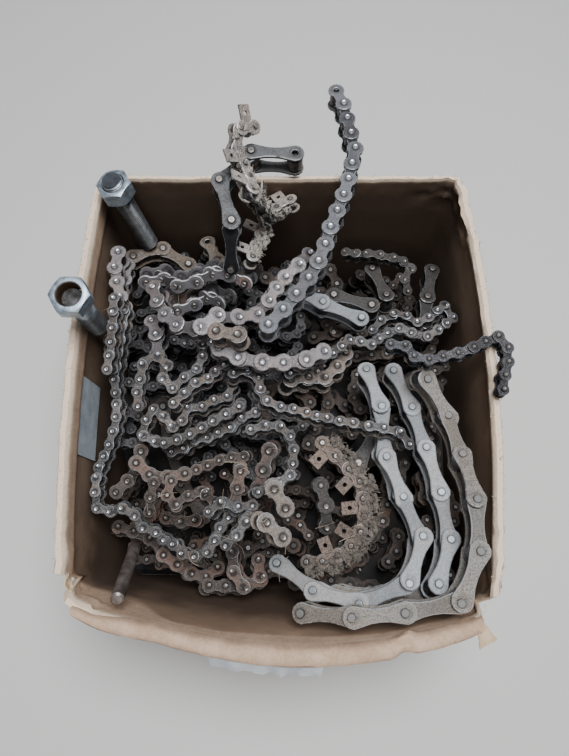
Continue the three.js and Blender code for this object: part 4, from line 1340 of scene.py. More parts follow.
def add_chain(shape, pins, kind_name, strand, templates=TEMPLATES):
    """All links and pins of one length. strand may say how far it tips, and whether its first end is open,
    with no pin, or held by the pin of another length."""
    outer, inner, pin = templates[kind_name]
    tip = strand.get("tip", 90 if strand.get("on_edge") else 0)
    held = strand.get("held", False)
    for k in range(len(pins) - 1):
        along, side, up, middle = link_basis(pins[k], pins[k + 1])
        matrix = axes_matrix(along, *tipped(side, up, tip), middle)
        is_outer = (k % 2 == 0) != held
        link = outer if is_outer else inner
        if k == 0 and strand.get("open"):
            link = OPEN_ENDS[kind_name][0]
        add_copy(shape, link, matrix, dice.random())
        if strand.get("tabs") and is_outer:
            add_copy(shape, TABS[strand["tabs"]], matrix, dice.random())
    for k in range(1 if held else 0, len(pins)):
        along, side, up = pin_axes(pins, k)
        rest = OPEN_ENDS[kind_name][1] if k == 0 and strand.get("open") else pin
        add_copy(shape, rest, axes_matrix(along, *tipped(side, up, tip), pins[k]), dice.random())


def chain_piece(name, pins, strand, finishes, slot, *nodes):
    shape = bmesh.new()
    add_chain(shape, pins, strand["kind"], strand)
    made_piece(name, shape, finishes, slot, *nodes)


# %% [markdown]
# ## Steel that has lain in oil, dust and rain
# On an old plate the colour comes from layers: dark scale or bare steel, grease and painted shade that gather
# round each pin head, rust in patches, and pale dust where the surface faces up. The link map gives the
# distance to the nearest pin centre, so the dark ring of grease and painted shade follows every pin, and the
# random tone of a link shifts it lighter or darker. Inner plates are darker copies, painted shade, and the
# bevelled edges carry a painted highlight.


# %% A finish for plates
def plate_finish(name, steel, deep, dust, dusty, rust, rusty, shine, head, grain=0.3, grit=640, greasy=0.85):
    """steel and deep are the light and dark metal. dusty, rusty and grain say how much dust, rust and dirt
    there is, greasy how dark the ring of grease and painted shade round a pin head of radius head is, and
    grit how fine the dirt."""
    finish = Finish(name, metallic=0.75, roughness=shine)
    u, v = finish.on_link()
    away = ((abs(u - 0.5) - 0.5) ** 2 + (v - 0.5) ** 2) ** 0.5
    tone = finish.attribute(TONE)
    cloudy = finish.noise(90, 4)
    fine = finish.noise(900, 3, 0.7)
    patch = finish.noise(38, 5, 0.65)
    metal = finish.mix((cloudy * 0.9 + tone * 0.5 - 0.25).between(0.15, 0.95), deep, steel)
    spots = (patch + fine * 0.3 + tone * 0.12).between(0.98 - rusty, 1.12 - rusty)
    metal = finish.mix(spots, metal, rust)
    # A dark ring round each pin head, partly grease and partly painted shade
    ring = (1 - away.between(head * 0.9, head * 1.6)) * greasy
    up = finish.facing_up().between(0.2, 0.95)
    lying = (up * (finish.noise(150, 5, 0.7) + fine * 0.35 - 0.2 + tone * 0.2) * dusty * 2).clamp()
    dirt = finish.noise(grit, 3, 0.75).between(0.44, 0.66) * grain
    brown = tuple(c * part for c, part in zip(dust, (0.98, 0.74, 0.58)))
    settled = finish.mix(finish.noise(17, 2).between(0.42, 0.6) * (1 - shine), dust, brown)
    colour = finish.mix(dirt, finish.mix(lying, metal, settled), tuple(0.45 * c for c in deep))
    pale = finish.noise(1.4 * grit, 2, 0.6).between(0.5, 0.68) * dusty * grain
    colour = finish.mix(pale, colour, tuple(1.35 * c for c in dust))
    colour = finish.mix(ring, colour, tuple(0.3 * c for c in deep))
    matte = (lying * 0.45 + spots * 0.35 + fine * 0.2 + (shine - 0.12)).clamp()
    relief = finish.bump(fine * 0.6 + cloudy * 0.4 + lying * 0.5 - dirt, 0.55, 0.0007)
    bare = 0.85 * (1 - (lying * 0.9 + spots * 0.8 + ring * 0.4).clamp())
    finish.set({"base_color": colour, "roughness": matte, "metallic": bare, "normal": relief})
    return finish


# %% A finish for pin heads and one for rollers
def pin_finish(name, bright, dark, shine, hollow=0.5):
    """A pin head, worn bright in its middle and darkened toward its rim with painted shade. hollow says how
    dark the painted shade in the middle of the head is, from 0 to 1.
    """
    finish = Finish(name)
    u, v = finish.on_link()
    away = ((u - 0.5) ** 2 + (v - 0.5) ** 2) ** 0.5
    tone = finish.attribute(TONE)
    # Painted shade in the middle of the head and toward its rim, round the worn bright middle
    painted_pit_shade = (1 - away.between(0.07, 0.17)) * hollow
    worn = (1 - away.between(0.3, 0.45)) * (0.55 + tone * 0.45) * (1 - painted_pit_shade)
    fine = finish.noise(1100, 3, 0.7)
    colour = finish.mix((worn + fine * 0.3 - 0.12).clamp(), dark, bright)
    finish.set({"base_color": colour, "roughness": (fine * 0.25 + shine).clamp(), "metallic": 0.8})
    finish.set({"normal": finish.bump(fine, 0.25, 0.0004)})
    return finish


def roller_finish(name, colour, dark):
    finish = Finish(name, metallic=0.6)
    greasy = finish.noise(260, 4, 0.6)
    finish.set({"base_color": finish.mix(greasy.between(0.35, 0.7), dark, colour)})
    finish.set({"roughness": (greasy * 0.5 + 0.2).clamp(), "normal": finish.bump(greasy, 0.3, 0.0006)})
    return finish


# %% The finishes of this heap's chains
RUST = (0.20, 0.085, 0.045)
LOOKS = {
    "small": dict(steel=(0.158, 0.18, 0.205), deep=(0.032, 0.037, 0.045), dust=(0.225, 0.2, 0.175),
                  dusty=0.4, rust=(0.16, 0.09, 0.055), rusty=0.2, shine=0.33, head=0.2, grain=0.5),
    "brown": dict(steel=(0.12, 0.1, 0.093), deep=(0.036, 0.03, 0.028), dust=(0.15, 0.128, 0.115),
                  dusty=0.42, rust=(0.15, 0.075, 0.055), rusty=0.28, shine=0.5, head=0.2, grain=0.6),
    "black": dict(steel=(0.06, 0.066, 0.08), deep=(0.018, 0.019, 0.024), dust=(0.11, 0.105, 0.1), dusty=0.2,
                  rust=RUST, rusty=0.05, shine=0.3, head=0.2),
    "medium": dict(steel=(0.47, 0.45, 0.47), deep=(0.15, 0.142, 0.152), dust=(0.38, 0.335, 0.32), dusty=0.3,
                   rust=(0.27, 0.16, 0.12), rusty=0.19, shine=0.36, head=0.19, grain=0.4, greasy=0.6),
    "blued": dict(steel=(0.23, 0.255, 0.295), deep=(0.062, 0.067, 0.08), dust=(0.25, 0.235, 0.225),
                  dusty=0.24, rust=(0.22, 0.14, 0.1), rusty=0.08, shine=0.33, head=0.19, grain=0.3,
                  greasy=0.6),
    "dusty": dict(steel=(0.25, 0.234, 0.224), deep=(0.092, 0.083, 0.077), dust=(0.27, 0.243, 0.222),
                  dusty=0.7, rust=RUST, rusty=0.16, shine=0.5, head=0.19, grain=0.6),
    "worn": dict(steel=(0.135, 0.115, 0.107), deep=(0.04, 0.033, 0.03), dust=(0.17, 0.143, 0.126),
                 dusty=0.45, rust=(0.19, 0.085, 0.055), rusty=0.3, shine=0.52, head=0.19, grain=0.6),
    "big": dict(steel=(0.5, 0.55, 0.6), deep=(0.31, 0.34, 0.375), dust=(0.46, 0.465, 0.465), dusty=0.5,
                rust=(0.25, 0.17, 0.11), rusty=0.04, shine=0.5, head=0.1, grain=0.4, greasy=0.35),
    "granular": dict(steel=(0.27, 0.264, 0.253), deep=(0.135, 0.13, 0.122), dust=(0.3, 0.28, 0.255),
                     dusty=0.9, rust=(0.25, 0.16, 0.1), rusty=0.05, shine=0.55, head=0.1, grain=0.85,
                     grit=1000, greasy=0.35),
    "scale": dict(steel=(0.15, 0.16, 0.175), deep=(0.055, 0.058, 0.066), dust=(0.21, 0.2, 0.19), dusty=0.25,
                  rust=RUST, rusty=0.04, shine=0.42, head=0.1),
    # The shaded look is darkened with painted shade, for lengths that lie in shadow and for buried big chain
    "shaded": dict(steel=(0.082, 0.081, 0.083), deep=(0.03, 0.028, 0.028), dust=(0.125, 0.116, 0.107),
                   dusty=0.4, rust=RUST, rusty=0.12, shine=0.5, head=0.1, grain=0.5),
    "tan": dict(steel=(0.21, 0.185, 0.16), deep=(0.085, 0.074, 0.063), dust=(0.29, 0.25, 0.21), dusty=0.7,
                rust=RUST, rusty=0.08, shine=0.55, head=0.12, grain=0.6),
    "caked": dict(steel=(0.17, 0.145, 0.13), deep=(0.07, 0.058, 0.05), dust=(0.22, 0.18, 0.155), dusty=0.8,
                  rust=(0.17, 0.1, 0.085), rusty=0.34, shine=0.6, head=0.17, grain=0.8),
    "ashen": dict(steel=(0.27, 0.255, 0.24), deep=(0.11, 0.1, 0.092), dust=(0.4, 0.365, 0.33), dusty=0.8,
                  rust=(0.2, 0.13, 0.1), rusty=0.15, shine=0.6, head=0.17, grain=0.7),
    # The next two looks are darkened with painted shade, for chain buried deep in the heap
    "deep_grey": dict(steel=(0.11, 0.115, 0.13), deep=(0.035, 0.036, 0.042), dust=(0.14, 0.13, 0.125),
                      dusty=0.3, rust=(0.1, 0.06, 0.04), rusty=0.12, shine=0.4, head=0.2, grain=0.5),
    "deep_brown": dict(steel=(0.075, 0.063, 0.055), deep=(0.024, 0.02, 0.018), dust=(0.11, 0.09, 0.076),
                       dusty=0.4, rust=(0.085, 0.042, 0.028), rusty=0.25, shine=0.45, head=0.2, grain=0.5),
}
LOOKS["edgeways"] = {**LOOKS["medium"], "steel": (0.3, 0.3, 0.33), "shine": 0.7}
PIN_LOOKS = {
    "bright": pin_finish("bright_pin_heads", (0.74, 0.75, 0.78), (0.1, 0.1, 0.11), 0.24),
    "grey": pin_finish("grey_pin_heads", (0.74, 0.76, 0.8), (0.05, 0.05, 0.055), 0.22),
    "dull": pin_finish("dull_pin_heads", (0.37, 0.4, 0.42), (0.15, 0.15, 0.15), 0.45, 0),
    "dusty": pin_finish("dusty_pin_heads", (0.28, 0.277, 0.268), (0.13, 0.127, 0.12), 0.6, 0),
    "brown": pin_finish("brown_pin_heads", (0.34, 0.31, 0.29), (0.05, 0.043, 0.038), 0.34),
    "dark": pin_finish("dark_pin_heads", (0.2, 0.19, 0.18), (0.03, 0.027, 0.025), 0.4),
}
GREASY = roller_finish("greasy_rollers", (0.16, 0.15, 0.15), (0.03, 0.028, 0.027))
PLATES = {name: plate_finish(name + "_plates", **look) for name, look in LOOKS.items()}
PAINTED_SHADE_INNER_PLATES, EDGES = {}, {}
# How much painted shade darkens the inner plates beside the outer ones
INNER_PAINTED_SHADE = 0.7
INNER_PAINTED_SHADES = {"medium": 0.46, "blued": 0.46, "edgeways": 0.6}


def rubbed_edge_highlight_finish(name, steel, shine):
    """Where plates rub on each other, the edges are bare and brighter, with a painted highlight, but not all
    along.
    """
    finish = Finish(name, metallic=0.8)
    # Patches along the bevelled edges painted bright: bare rubbed steel with a painted highlight
    rubbed_and_highlit = (finish.noise(210, 4, 0.65) + finish.attribute(TONE) * 0.25).between(0.4, 0.7)
    bare = tuple(min(0.66, 1.3 * c + 0.34) for c in steel)
    finish.set({"base_color": finish.mix(rubbed_and_highlit, tuple(0.7 * c for c in steel), bare)})
    finish.set({"roughness": shine + 0.22 - rubbed_and_highlit * 0.18})
    return finish


for name, look in LOOKS.items():
    EDGES[name] = rubbed_edge_highlight_finish(name + "_edges", look["steel"], look["shine"])
    # Darker copies of each plate finish for the inner plates: painted shade beside the outer plates
    shade = INNER_PAINTED_SHADES.get(name, INNER_PAINTED_SHADE)
    darker = {part: tuple(shade * c for c in look[part]) for part in ("steel", "deep", "dust")}
    PAINTED_SHADE_INNER_PLATES[name] = plate_finish(name + "_inner_plates", **{**look, **darker})
print("finishes", len(bpy.data.materials))

# %% Kraft board, zinc, rust and straw
def board_finish():
    """Kraft board: lighter above the crease and darker below it, with oil stains and painted shade, with fine
    fibres all over, and pale where it is torn. Painted shade also darkens the inner faces of the far wall,
    the side walls and the front wall, and a band of painted light runs along the top of the walls and the
    flap, wider at the front-left corner, but not on the far wall's inner face."""
    finish = Finish("kraft_board", metallic=0.0)
    blotch = finish.noise(9, 4, 0.55)
    fibre = finish.noise(420, 4, 0.7, (1, 1, 0.35))
    scuff = finish.noise(55, 5, 0.7)
    specks = finish.noise(900, 2, 0.6).between(0.6, 0.72)
    place = finish.place()
    across, along, height = (finish.axis(place, letter) for letter in "XYZ")
    far, near = along.between(0.13, 0.18), 1 - along.between(-0.2, -0.17)
    inside = finish.attribute(INSIDE)
    sides = abs(across).between(0.145, 0.16) * inside * (1 - near) * (1 - far)
    corner = near * (1 - across.between(-0.14, -0.08))
    # A band of painted light along the top of the walls and the flap, wider at the front-left corner and left
    # off the far wall's inner face
    painted_light_band = height - across * FOLD_TILT * (1 - near) + corner * 0.045 + (blotch - 0.5) * (0.008 + near * 0.02)
    painted_light_band = painted_light_band.between(0.195, 0.1995 + corner * 0.02) * (1 - far * inside)
    kraft = finish.mix(blotch.between(0.3, 0.7), (0.36, 0.215, 0.13), (0.49, 0.315, 0.2))
    kraft = finish.mix(scuff.between(0.52, 0.7) * 0.35, kraft, (0.6, 0.43, 0.3))
    kraft = finish.mix(scuff.between(0.48, 0.3) * 0.35, kraft, (0.24, 0.145, 0.09))
    kraft = finish.mix((fibre * 0.5 - 0.08).clamp(), kraft, (0.57, 0.41, 0.28))
    kraft = finish.mix(specks * 0.35, kraft, (0.2, 0.13, 0.085))
    # Darker towards the bottom, with oil stains and painted shade, and painted shade on the inner faces of
    # the far wall, the side walls below the band and the front wall; outer faces stay lighter
    level = height + (blotch - 0.5) * 0.06 + (finish.noise(40, 4) - 0.5) * 0.03 - far * inside * 0.1
    level = level - sides * 0.05 * (1 - painted_light_band) - near * inside * 0.04 + (1 - inside) * 0.085
    kraft = finish.mix(1 - level.between(0.14, 0.19), kraft, (0.2, 0.13, 0.085))
    oil_and_shade = 1 - (level + (finish.noise(22, 4, 0.62) - 0.5) * 0.08).between(0.08, 0.145)
    kraft = finish.mix(oil_and_shade * 0.85, kraft, (0.06, 0.04, 0.029))
    # The lighter kraft that the band of painted light is painted in
    bright_band = finish.mix((scuff * 0.6 + fibre * 0.4).between(0.38, 0.62), (0.4, 0.27, 0.18), (0.55, 0.39, 0.28))
    kraft = finish.mix(painted_light_band * 0.75, kraft, bright_band)
    worn = finish.attribute(EDGE) ** (far * 5 + 1)
    torn = (worn * (fibre * 0.9 + 0.6)).clamp()
    colour = finish.mix(torn, kraft, (0.76, 0.6, 0.45))
    relief = finish.bump(fibre * 0.5 + blotch * 0.5 + scuff * 0.6 + torn * fibre, 0.5, 0.0012)
    finish.set({"base_color": colour, "normal": relief})
    finish.set({"roughness": (blotch * 0.2 + 0.7 - oil_and_shade * 0.25).clamp()})
    return finish


def plain_finish(name, light, dark, scale, metallic, shine, depth=0.0005, lining=None):
    """Two colours in a fine cloud, for zinc, rust, labels and straw, and perhaps a third inside a hole."""
    finish = Finish(name, metallic=metallic)
    cloud = finish.noise(scale, 5, 0.65)
    colour = finish.mix(cloud.between(0.32, 0.68), dark, light)
    if lining:
        colour = finish.mix(finish.attribute(INSIDE), colour, lining)
    finish.set({"base_color": colour, "roughness": (cloud * 0.25 + shine).clamp()})
    finish.set({"normal": finish.bump(cloud, 0.4, depth)})
    return finish


BOARD_FINISH = board_finish()
RUSTY_BORE = (0.2, 0.13, 0.075)
ZINC = plain_finish("zinc", (0.46, 0.54, 0.61), (0.22, 0.27, 0.32), 160, 0.75, 0.3, 0.0003, RUSTY_BORE)
PIN_RUST = plain_finish("brown_pin", (0.36, 0.315, 0.295), (0.13, 0.1, 0.085), 70, 0.7, 0.26, 0.0005)
LABEL = plain_finish("blank_label", (0.4, 0.45, 0.49), (0.27, 0.31, 0.34), 60, 0.0, 0.55, 0.0003)
TORN_PLY = plain_finish("torn_ply", (0.66, 0.5, 0.34), (0.52, 0.37, 0.24), 120, 0.0, 0.7)
PAPER = plain_finish("paper_scrap", (0.78, 0.81, 0.84), (0.6, 0.63, 0.67), 40, 0.0, 0.6, 0.0006)
CHAFF = plain_finish("chaff", (0.29, 0.25, 0.21), (0.14, 0.117, 0.097), 90, 0.0, 0.6)
PALE_CHAFF = plain_finish("pale_chaff", (0.52, 0.46, 0.4), (0.28, 0.24, 0.2), 90, 0.0, 0.6)
FRAY = plain_finish("frayed_paper", (0.74, 0.6, 0.45), (0.55, 0.42, 0.29), 90, 0.0, 0.7)
STRAW = plain_finish("straw", (0.46, 0.38, 0.28), (0.26, 0.21, 0.15), 90, 0.0, 0.6)
PAINTED_DEEP_SHADOW = plain_finish("dark_oil", (0.026, 0.022, 0.02), (0.01, 0.009, 0.009), 70, 0, 0.8)


def stud_finish():
    """The threads are still bright near the nuts, and further down they are black with oil. The crests of the
    thread carry a painted highlight, strongest near the nuts.
    """
    finish = Finish("oily_thread", metallic=0.75)
    cloud = finish.noise(120, 5, 0.65)
    height = finish.axis(finish.place(), "Z")
    bright_band = (height + (cloud - 0.5) * 0.03).between(0.228, 0.25) * (1 - height.between(0.258, 0.262))
    black = finish.mix(cloud.between(0.35, 0.7), (0.03, 0.027, 0.026), (0.1, 0.098, 0.098))
    colour = finish.mix(bright_band, black, (0.13, 0.145, 0.165))
    # A painted highlight on the crests of the thread, strongest near the nuts
    crest_highlight = finish.attribute(EDGE).between(0.35, 0.9)
    colour = finish.mix(crest_highlight * (bright_band * 0.75 + 0.12), colour, (0.6, 0.66, 0.71))
    finish.set({"base_color": colour, "roughness": (cloud * 0.3 + 0.2).clamp()})
    finish.set({"normal": finish.bump(cloud, 0.4, 0.0005)})
    return finish


OILY_THREAD = stud_finish()

# %% Which finish each length wears: that of its kind, or one of its own
LOOK_OF_KIND = {"long": "tan", "tabbed": "caked"}
LOOK_WEARERS = {
    "black": ("small_over_rim",),
    "brown": ("small_brown", "small_hook", "small_floor", "medium_brown"),
    "shaded": ("small_right_back", "big_dark", "big_right", "big_under", "big_shadow", "medium_inside"),
    "scale": ("big_back",),
    "granular": ("big_outer", "big_lowest"),
    "dusty": ("medium_dusty", "medium_curl", "medium_curl_low"),
    "caked": ("medium_under",),
    "blued": ("medium_riser",),
    "ashen": ("tabbed_top", "tabbed_back"),
    "edgeways": ("medium_on_edge", "medium_low_edge"),
}
SLOT_WEARERS = {
    "chain_worn_steel": ("small_brown", "medium_brown"),
    "chain_dark_steel": ("big_dark", "big_right", "big_back", "big_under", "big_shadow"),
}


def by_name(wearers):
    return {"chain_" + name: worn for worn, names in wearers.items() for name in names}


SPECIAL_LOOKS, SPECIAL_SLOTS = by_name(LOOK_WEARERS), by_name(SLOT_WEARERS)
PINS_OF_LOOK = {
    "small": "grey", "medium": "bright", "blued": "bright", "black": "dark", "big": "dull",
    "granular": "dusty",
}
# Lengths that tip to one side, by so many degrees, and lengths whose first link has lost its pin
TIPS = {
    "chain_medium_on_edge": 56, "chain_medium_low_edge": 60, "chain_tabbed_top": 40, "chain_tabbed_back": 14,
}
TIPPED_KINDS = ("small", "medium", "worn")
MOST_TIP = 15
OPEN = ("chain_medium_riser", "chain_long_back", "chain_big_back")


def finishes_of(look):
    return PLATES[look], PIN_LOOKS[PINS_OF_LOOK.get(look, "brown")], GREASY, PAINTED_SHADE_INNER_PLATES[look], EDGES[look]


for strand in STRANDS:
    name, kind_name = strand["name"], strand["kind"]
    tips = kind_name in TIPPED_KINDS and not strand.get("over_rim")
    lean = dice.uniform(-MOST_TIP, MOST_TIP) if tips else 0
    way = {**strand, "tip": TIPS.get(name, lean), "open": name in OPEN}
    look = SPECIAL_LOOKS.get(name, LOOK_OF_KIND.get(kind_name, kind_name))
    slot = SPECIAL_SLOTS.get(name, "chain_" + kind_name + "_steel")
    chain_piece("links_of_" + name, pins_of[name], way, finishes_of(look), slot, name)

# %% [markdown]
# Two lengths come over the far rim and hang down inside it. The solids stop where they leave the rim; here
# the last links of each hang on down until they reach the heap, and one more short end sticks out beside
# them.

# %% Links that hang down inside the far wall
HANGING = [
    dict(name="hanging_big_links", kind="big", look="scale", slot="chain_dark_steel", bow=0,
         start=pins_of["chain_big_back"][-1], end=np.array([-46.5, 114.0, 186.0])),
    dict(name="hanging_tabbed_links", kind="tabbed", look="ashen", slot="chain_tabbed_steel", bow=7,
         start=pins_of["chain_tabbed_top"][0],
         end=pins_of["chain_tabbed_back"][-1] + np.array([3.0, 4.0, -12.0]), tabs=1, tip=30),
    dict(name="hanging_tabbed_end", kind="tabbed", look="ashen", slot="chain_tabbed_steel", bow=0,
         start=np.array([-15.0, 160.0, 198.0]), end=np.array([19.0, 179.0, 203.0]), tabs=1, tip=-20),
]
LINE_PLACES = 40
for length in HANGING:
    steps = np.linspace(0, 1, LINE_PLACES)
    line = [length["start"] + (length["end"] - length["start"]) * t for t in steps]
    line = [point + np.array([length["bow"] * math.sin(math.pi * t), 0, 0]) for point, t in zip(line, steps)]
    pins_of[length["name"]] = walk(line, KINDS[length["kind"]]["pitch"])
    way = {**length, "held": True}
    chain_piece(length["name"], pins_of[length["name"]], way, finishes_of(length["look"]), length["slot"])
    print(length["name"], "links:", len(pins_of[length["name"]]) - 1)

# %% [markdown]
# ## Chain buried below the lengths that show
# Between the lengths that show, more chain lies deeper, down to where it gets dark: most of its finishes are
# darkened with painted shade, and a near-black sheet of painted shade lies below it. These lengths are
# random, and they are laid from the top down: each one wanders over the heap and is pressed up against a
# ceiling, which is the hidden heap's own surface at first and then the underside of the buried lengths that
# came before.

# %% The ceiling and one buried length
open_level = np.where(height_map > 0, hidden_level(*np.meshgrid(map_x, map_y)), 0.0)
ceiling = open_level.copy()
# How a buried length turns at each step: at most by this much, with this share of the turn before
TURN_MOST = 0.22
TURN_KEEP = 0.8
TURN_SPREAD = 0.1
# How a buried length lies: steepest slope, lowest place, fewest steps, and room above, below and beside it
STEEPEST = 0.4
LOWEST = 16
FEWEST = 7
GAP_ABOVE, GAP_BELOW, GAP_BESIDE = 0.4, 0.8, 0.6
FOOT_ROOM = 6


def room_under(x, y, radius):
    """How high a disc can rise before it touches the ceiling."""
    cells, hit = disc(x, y, radius)
    return float(np.where(hit, ceiling[cells], math.inf).min(initial=math.inf))


def depth_under(x, y):
    """How far the ceiling at a place lies below the hidden heap's own surface."""
    row, column = int((y - MAP_SOUTH) / CELL), int((x - MAP_WEST) / CELL)
    return open_level[row, column] - ceiling[row, column]


def inside_walls(x, y, room, z=RIM / 2):
    reach = CARTON_HALF_X - BOARD + abs(float(side_shift(x, y, z)))
    front = -CARTON_HALF_Y + BOARD + float(front_shift(x, z))
    return abs(x) < reach - room and front + room < y < CARTON_HALF_Y - room


def wander(start, kind, links, rng):
    """Dense places of a length that turns a little at random, never sharper than chain can."""
    step = kind["pitch"] / STEPS_A_LINK
    heading, turn = rng.uniform(0, 2 * math.pi), 0.0
    x, y = start
    places = []
    for _ in range(STEPS_A_LINK * links + 1):
        if not inside_walls(x, y, kind["plate"] + WALL_ROOM):
            break
        places.append((x, y))
        turn = TURN_KEEP * turn + rng.gauss(0, TURN_SPREAD)
        heading += max(-TURN_MOST, min(TURN_MOST, turn))
        x, y = x + step * math.cos(heading), y + step * math.sin(heading)
    return places


def fits(place, z, kind, deepest):
    """Whether a length may lie at a height: not too deep, not too low and inside the walls."""
    half = kind["width"] / 2
    depth = float(hidden_level(*place)) - half - z
    return depth < deepest and z > LOWEST and inside_walls(*place, kind["plate"], z - half - FOOT_ROOM)


def bury(places, kind, deepest):
    """Presses a length up against the ceiling, and gives its pins, or nothing where too little of it fits."""
    half, radius = kind["width"] / 2, kind["plate"]
    heights = [room_under(*place, radius) - half - GAP_ABOVE for place in places]
    good = [fits(place, z, kind, deepest) for place, z in zip(places, heights)]
    if not all(good):
        places, heights = places[:good.index(False)], heights[:good.index(False)]
    run = kind["pitch"] / STEPS_A_LINK
    for k, beside in both_ways(len(heights)):
        heights[k] = min(heights[k], heights[beside] + STEEPEST * run)
    if len(places) < FEWEST:
        return []
    pins = walk([np.array((*place, z)) for place, z in zip(places, heights)], kind["pitch"])
    for place, z in zip(places, heights):
        cells, hit = disc(*place, radius + GAP_BESIDE)
        ceiling[cells] = np.where(hit, np.minimum(ceiling[cells], z - half - GAP_BELOW), ceiling[cells])
    return pins


# %% Lay the buried lengths from the top down
BURIED_KINDS = ["small"] * 5 + ["worn"] * 5 + ["medium"] * 4 + ["big"]
# Small chain fills the left side, and browner chain the rest; their finishes are darkened with painted shade,
# apart from the shallow worn lengths on the left
SMALL_SIDE = {"east": 24, "south": -70, "kinds": ["small"] * 7 + ["medium"]}
SPACING = 11
START_X, START_Y = range(-180, 181, SPACING), range(-230, 181, SPACING)
START_ROOM = 8
LINKS = (4, 11)
BIG_LINKS = 4
# On the left, lengths that less than this lies above are worn brown ones
WORN_ABOVE = 9
# For each layer: how much chain may lie above a start already, and how deep a length may go
LAYERS = [(1, 26), (26, 50), (50, 78)]
wanderer = random.Random(12)
buried = {look: bmesh.new() for look in ("deep_grey", "deep_brown", "worn", "shaded")}
laid = 0
for covered, deepest in LAYERS:
    starts = [(x, y) for x in START_X for y in START_Y]
    wanderer.shuffle(starts)
    for start in starts:
        small_side = start[0] < SMALL_SIDE["east"] and start[1] > SMALL_SIDE["south"]
        kind_name = wanderer.choice(SMALL_SIDE["kinds"] if small_side else BURIED_KINDS)
        if not inside_walls(*start, START_ROOM) or depth_under(*start) > covered:
            continue
        links = BIG_LINKS if kind_name == "big" else wanderer.randint(*LINKS)
        pins = bury(wander(start, KINDS[kind_name], links, wanderer), KINDS[kind_name], deepest)
        if len(pins) > 1:
            # Buried lengths wear looks darkened with painted shade, apart from the shallow worn ones on the
            # left
            deep = "worn" if start[0] < 0 and covered < WORN_ABOVE else "deep_brown"
            look = "shaded" if kind_name == "big" else "deep_grey" if small_side else deep
            add_chain(buried[look], pins, kind_name, {}, PLAIN)
            laid += len(pins) - 1
    print("deeper than", covered, "mm: links so far", laid)
for look, shape in buried.items():
    # Dark pin heads for painted shade, apart from the worn lengths
    heads = PIN_LOOKS["brown" if look == "worn" else "dark"]
    finishes = (PLATES[look], heads, GREASY, PAINTED_SHADE_INNER_PLATES[look])
    made_piece("buried_lengths_" + look, shape, finishes, "hidden_chain")

# %% The dark ground under the buried lengths: a near-black sheet of painted shade
CORE_COLUMNS, CORE_ROWS = 60, 64
CORE_DEPTH = 56
CORE_GAP = 0.6


def dark_ground():
    """A near-black sheet of painted shade a little below the buried lengths, bent down to the bottom along
    its border.
    """
    shape = bmesh.new()
    bmesh.ops.create_grid(shape, x_segments=CORE_COLUMNS, y_segments=CORE_ROWS, size=1)
    for v in shape.verts:
        x, y = v.co.x * (CARTON_HALF_X - BOARD - CORE_GAP), v.co.y * (CARTON_HALF_Y - BOARD - CORE_GAP)
        bx, by, _ = bulged(x, y, RIM / 2)
        level = max(BOARD + 4, float(hidden_level(bx, by)) - CORE_DEPTH + 3 * hum(bx, by, 0, 16))
        v.co = bulged(x, y, BOARD + 2 if on_border(v) else level)
    return shape


# %% Pieces of the carton, the hardware and the ground
def dressed(name, shape, finish, slot, *nodes, soft=True):
    """A piece from a shape whose measures are in millimetres."""
    new_piece(name, scaled_mesh(shape, name, soft), [finish], slot, *nodes)


dressed("carton_walls", carton_walls(), BOARD_FINISH, "board", "carton")
dressed("carton_flap", front_flap(), BOARD_FINISH, "board")
dressed("corner_bit", leaf(8, 6, corner_bit, 1.6), TORN_PLY, "board")
dressed("corner_shreds", leaf(12, 5, shred_place, 1.0), TORN_PLY, "board")
dressed("bare_label", leaf(16, 10, label_place, 0.3), LABEL, "board")
dressed("paper_scrap", leaf(30, 4, scrap_place, 0.3), PAPER, "board")
dressed("dark_ground", dark_ground(), PAINTED_DEEP_SHADOW, "hidden_chain", "hidden_heap")
STUDS = [
    {"name": "back", "foot": (-143.9, 167.9, 139.1), "head": (-157, 173, 244), "nut_from": 0.83},
    {"name": "left", "foot": (-172.3, 47, 192.5), "head": (-169.7, 40.9, 268), "nut_from": 0.97},
]
# A nut's middle lies halfway between nut_from and this much more, as shares of the stud's length
NUT_SPAN = 0.1
for stud in STUDS:
    foot, head = Vector(stud["foot"]), Vector(stud["head"])
    name = stud["name"]
    screw = stand_up(threaded((head - foot).length), foot, head)
    dressed("screw_" + name, screw, OILY_THREAD, "zinc", "stud_" + name)
    nut_foot = foot.lerp(head, stud["nut_from"])
    nut_head = foot.lerp(head, stud["nut_from"] + NUT_SPAN)
    middle = (nut_foot + nut_head) / 2
    half = (head - foot).normalized() * NUT_HEIGHT / 2
    hexagonal = stand_up(nut_shape(), middle - half, middle + half)
    dressed("hexagon_" + name, hexagonal, ZINC, "zinc", "nut_" + name)
PIN_RADIUS = 5.6
pin_foot, pin_head = Vector((-136, -154, 135)), Vector((-126, -194.5, 219))
rusty = stand_up(pin_shape((pin_head - pin_foot).length, PIN_RADIUS), pin_foot, pin_head)
dressed("rusty_pin", rusty, PIN_RUST, "pin_rust", "loose_pin")

# %% [markdown]
# ## Crust and straw
# The chains with square lugs came off a machine that handled straw, and they are still caked: dust and chaff
# stuck to the grease and dried to a rough crust along one side. A lump is an icosphere whose corners are
# pushed in and out by noise. A fibre is a three-sided cone cut into short parts and bent, and a few of them
# are turned, stretched and copied all over.


# %% Lumps and fibres
def lump(shape, middle, size, seed):
    shift = Vector((seed, 0, 0))
    for v in bmesh.ops.create_icosphere(shape, subdivisions=2, radius=1)["verts"]:
        push = 1 + 0.55 * noise.noise(v.co * 1.6 + shift) + 0.35 * noise.noise(v.co * 4 + middle)
        v.co = middle + Vector(v.co[i] * push * size[i] for i in range(3))


FIBRE_PARTS = 5
WHOLE_TURN = 6.3


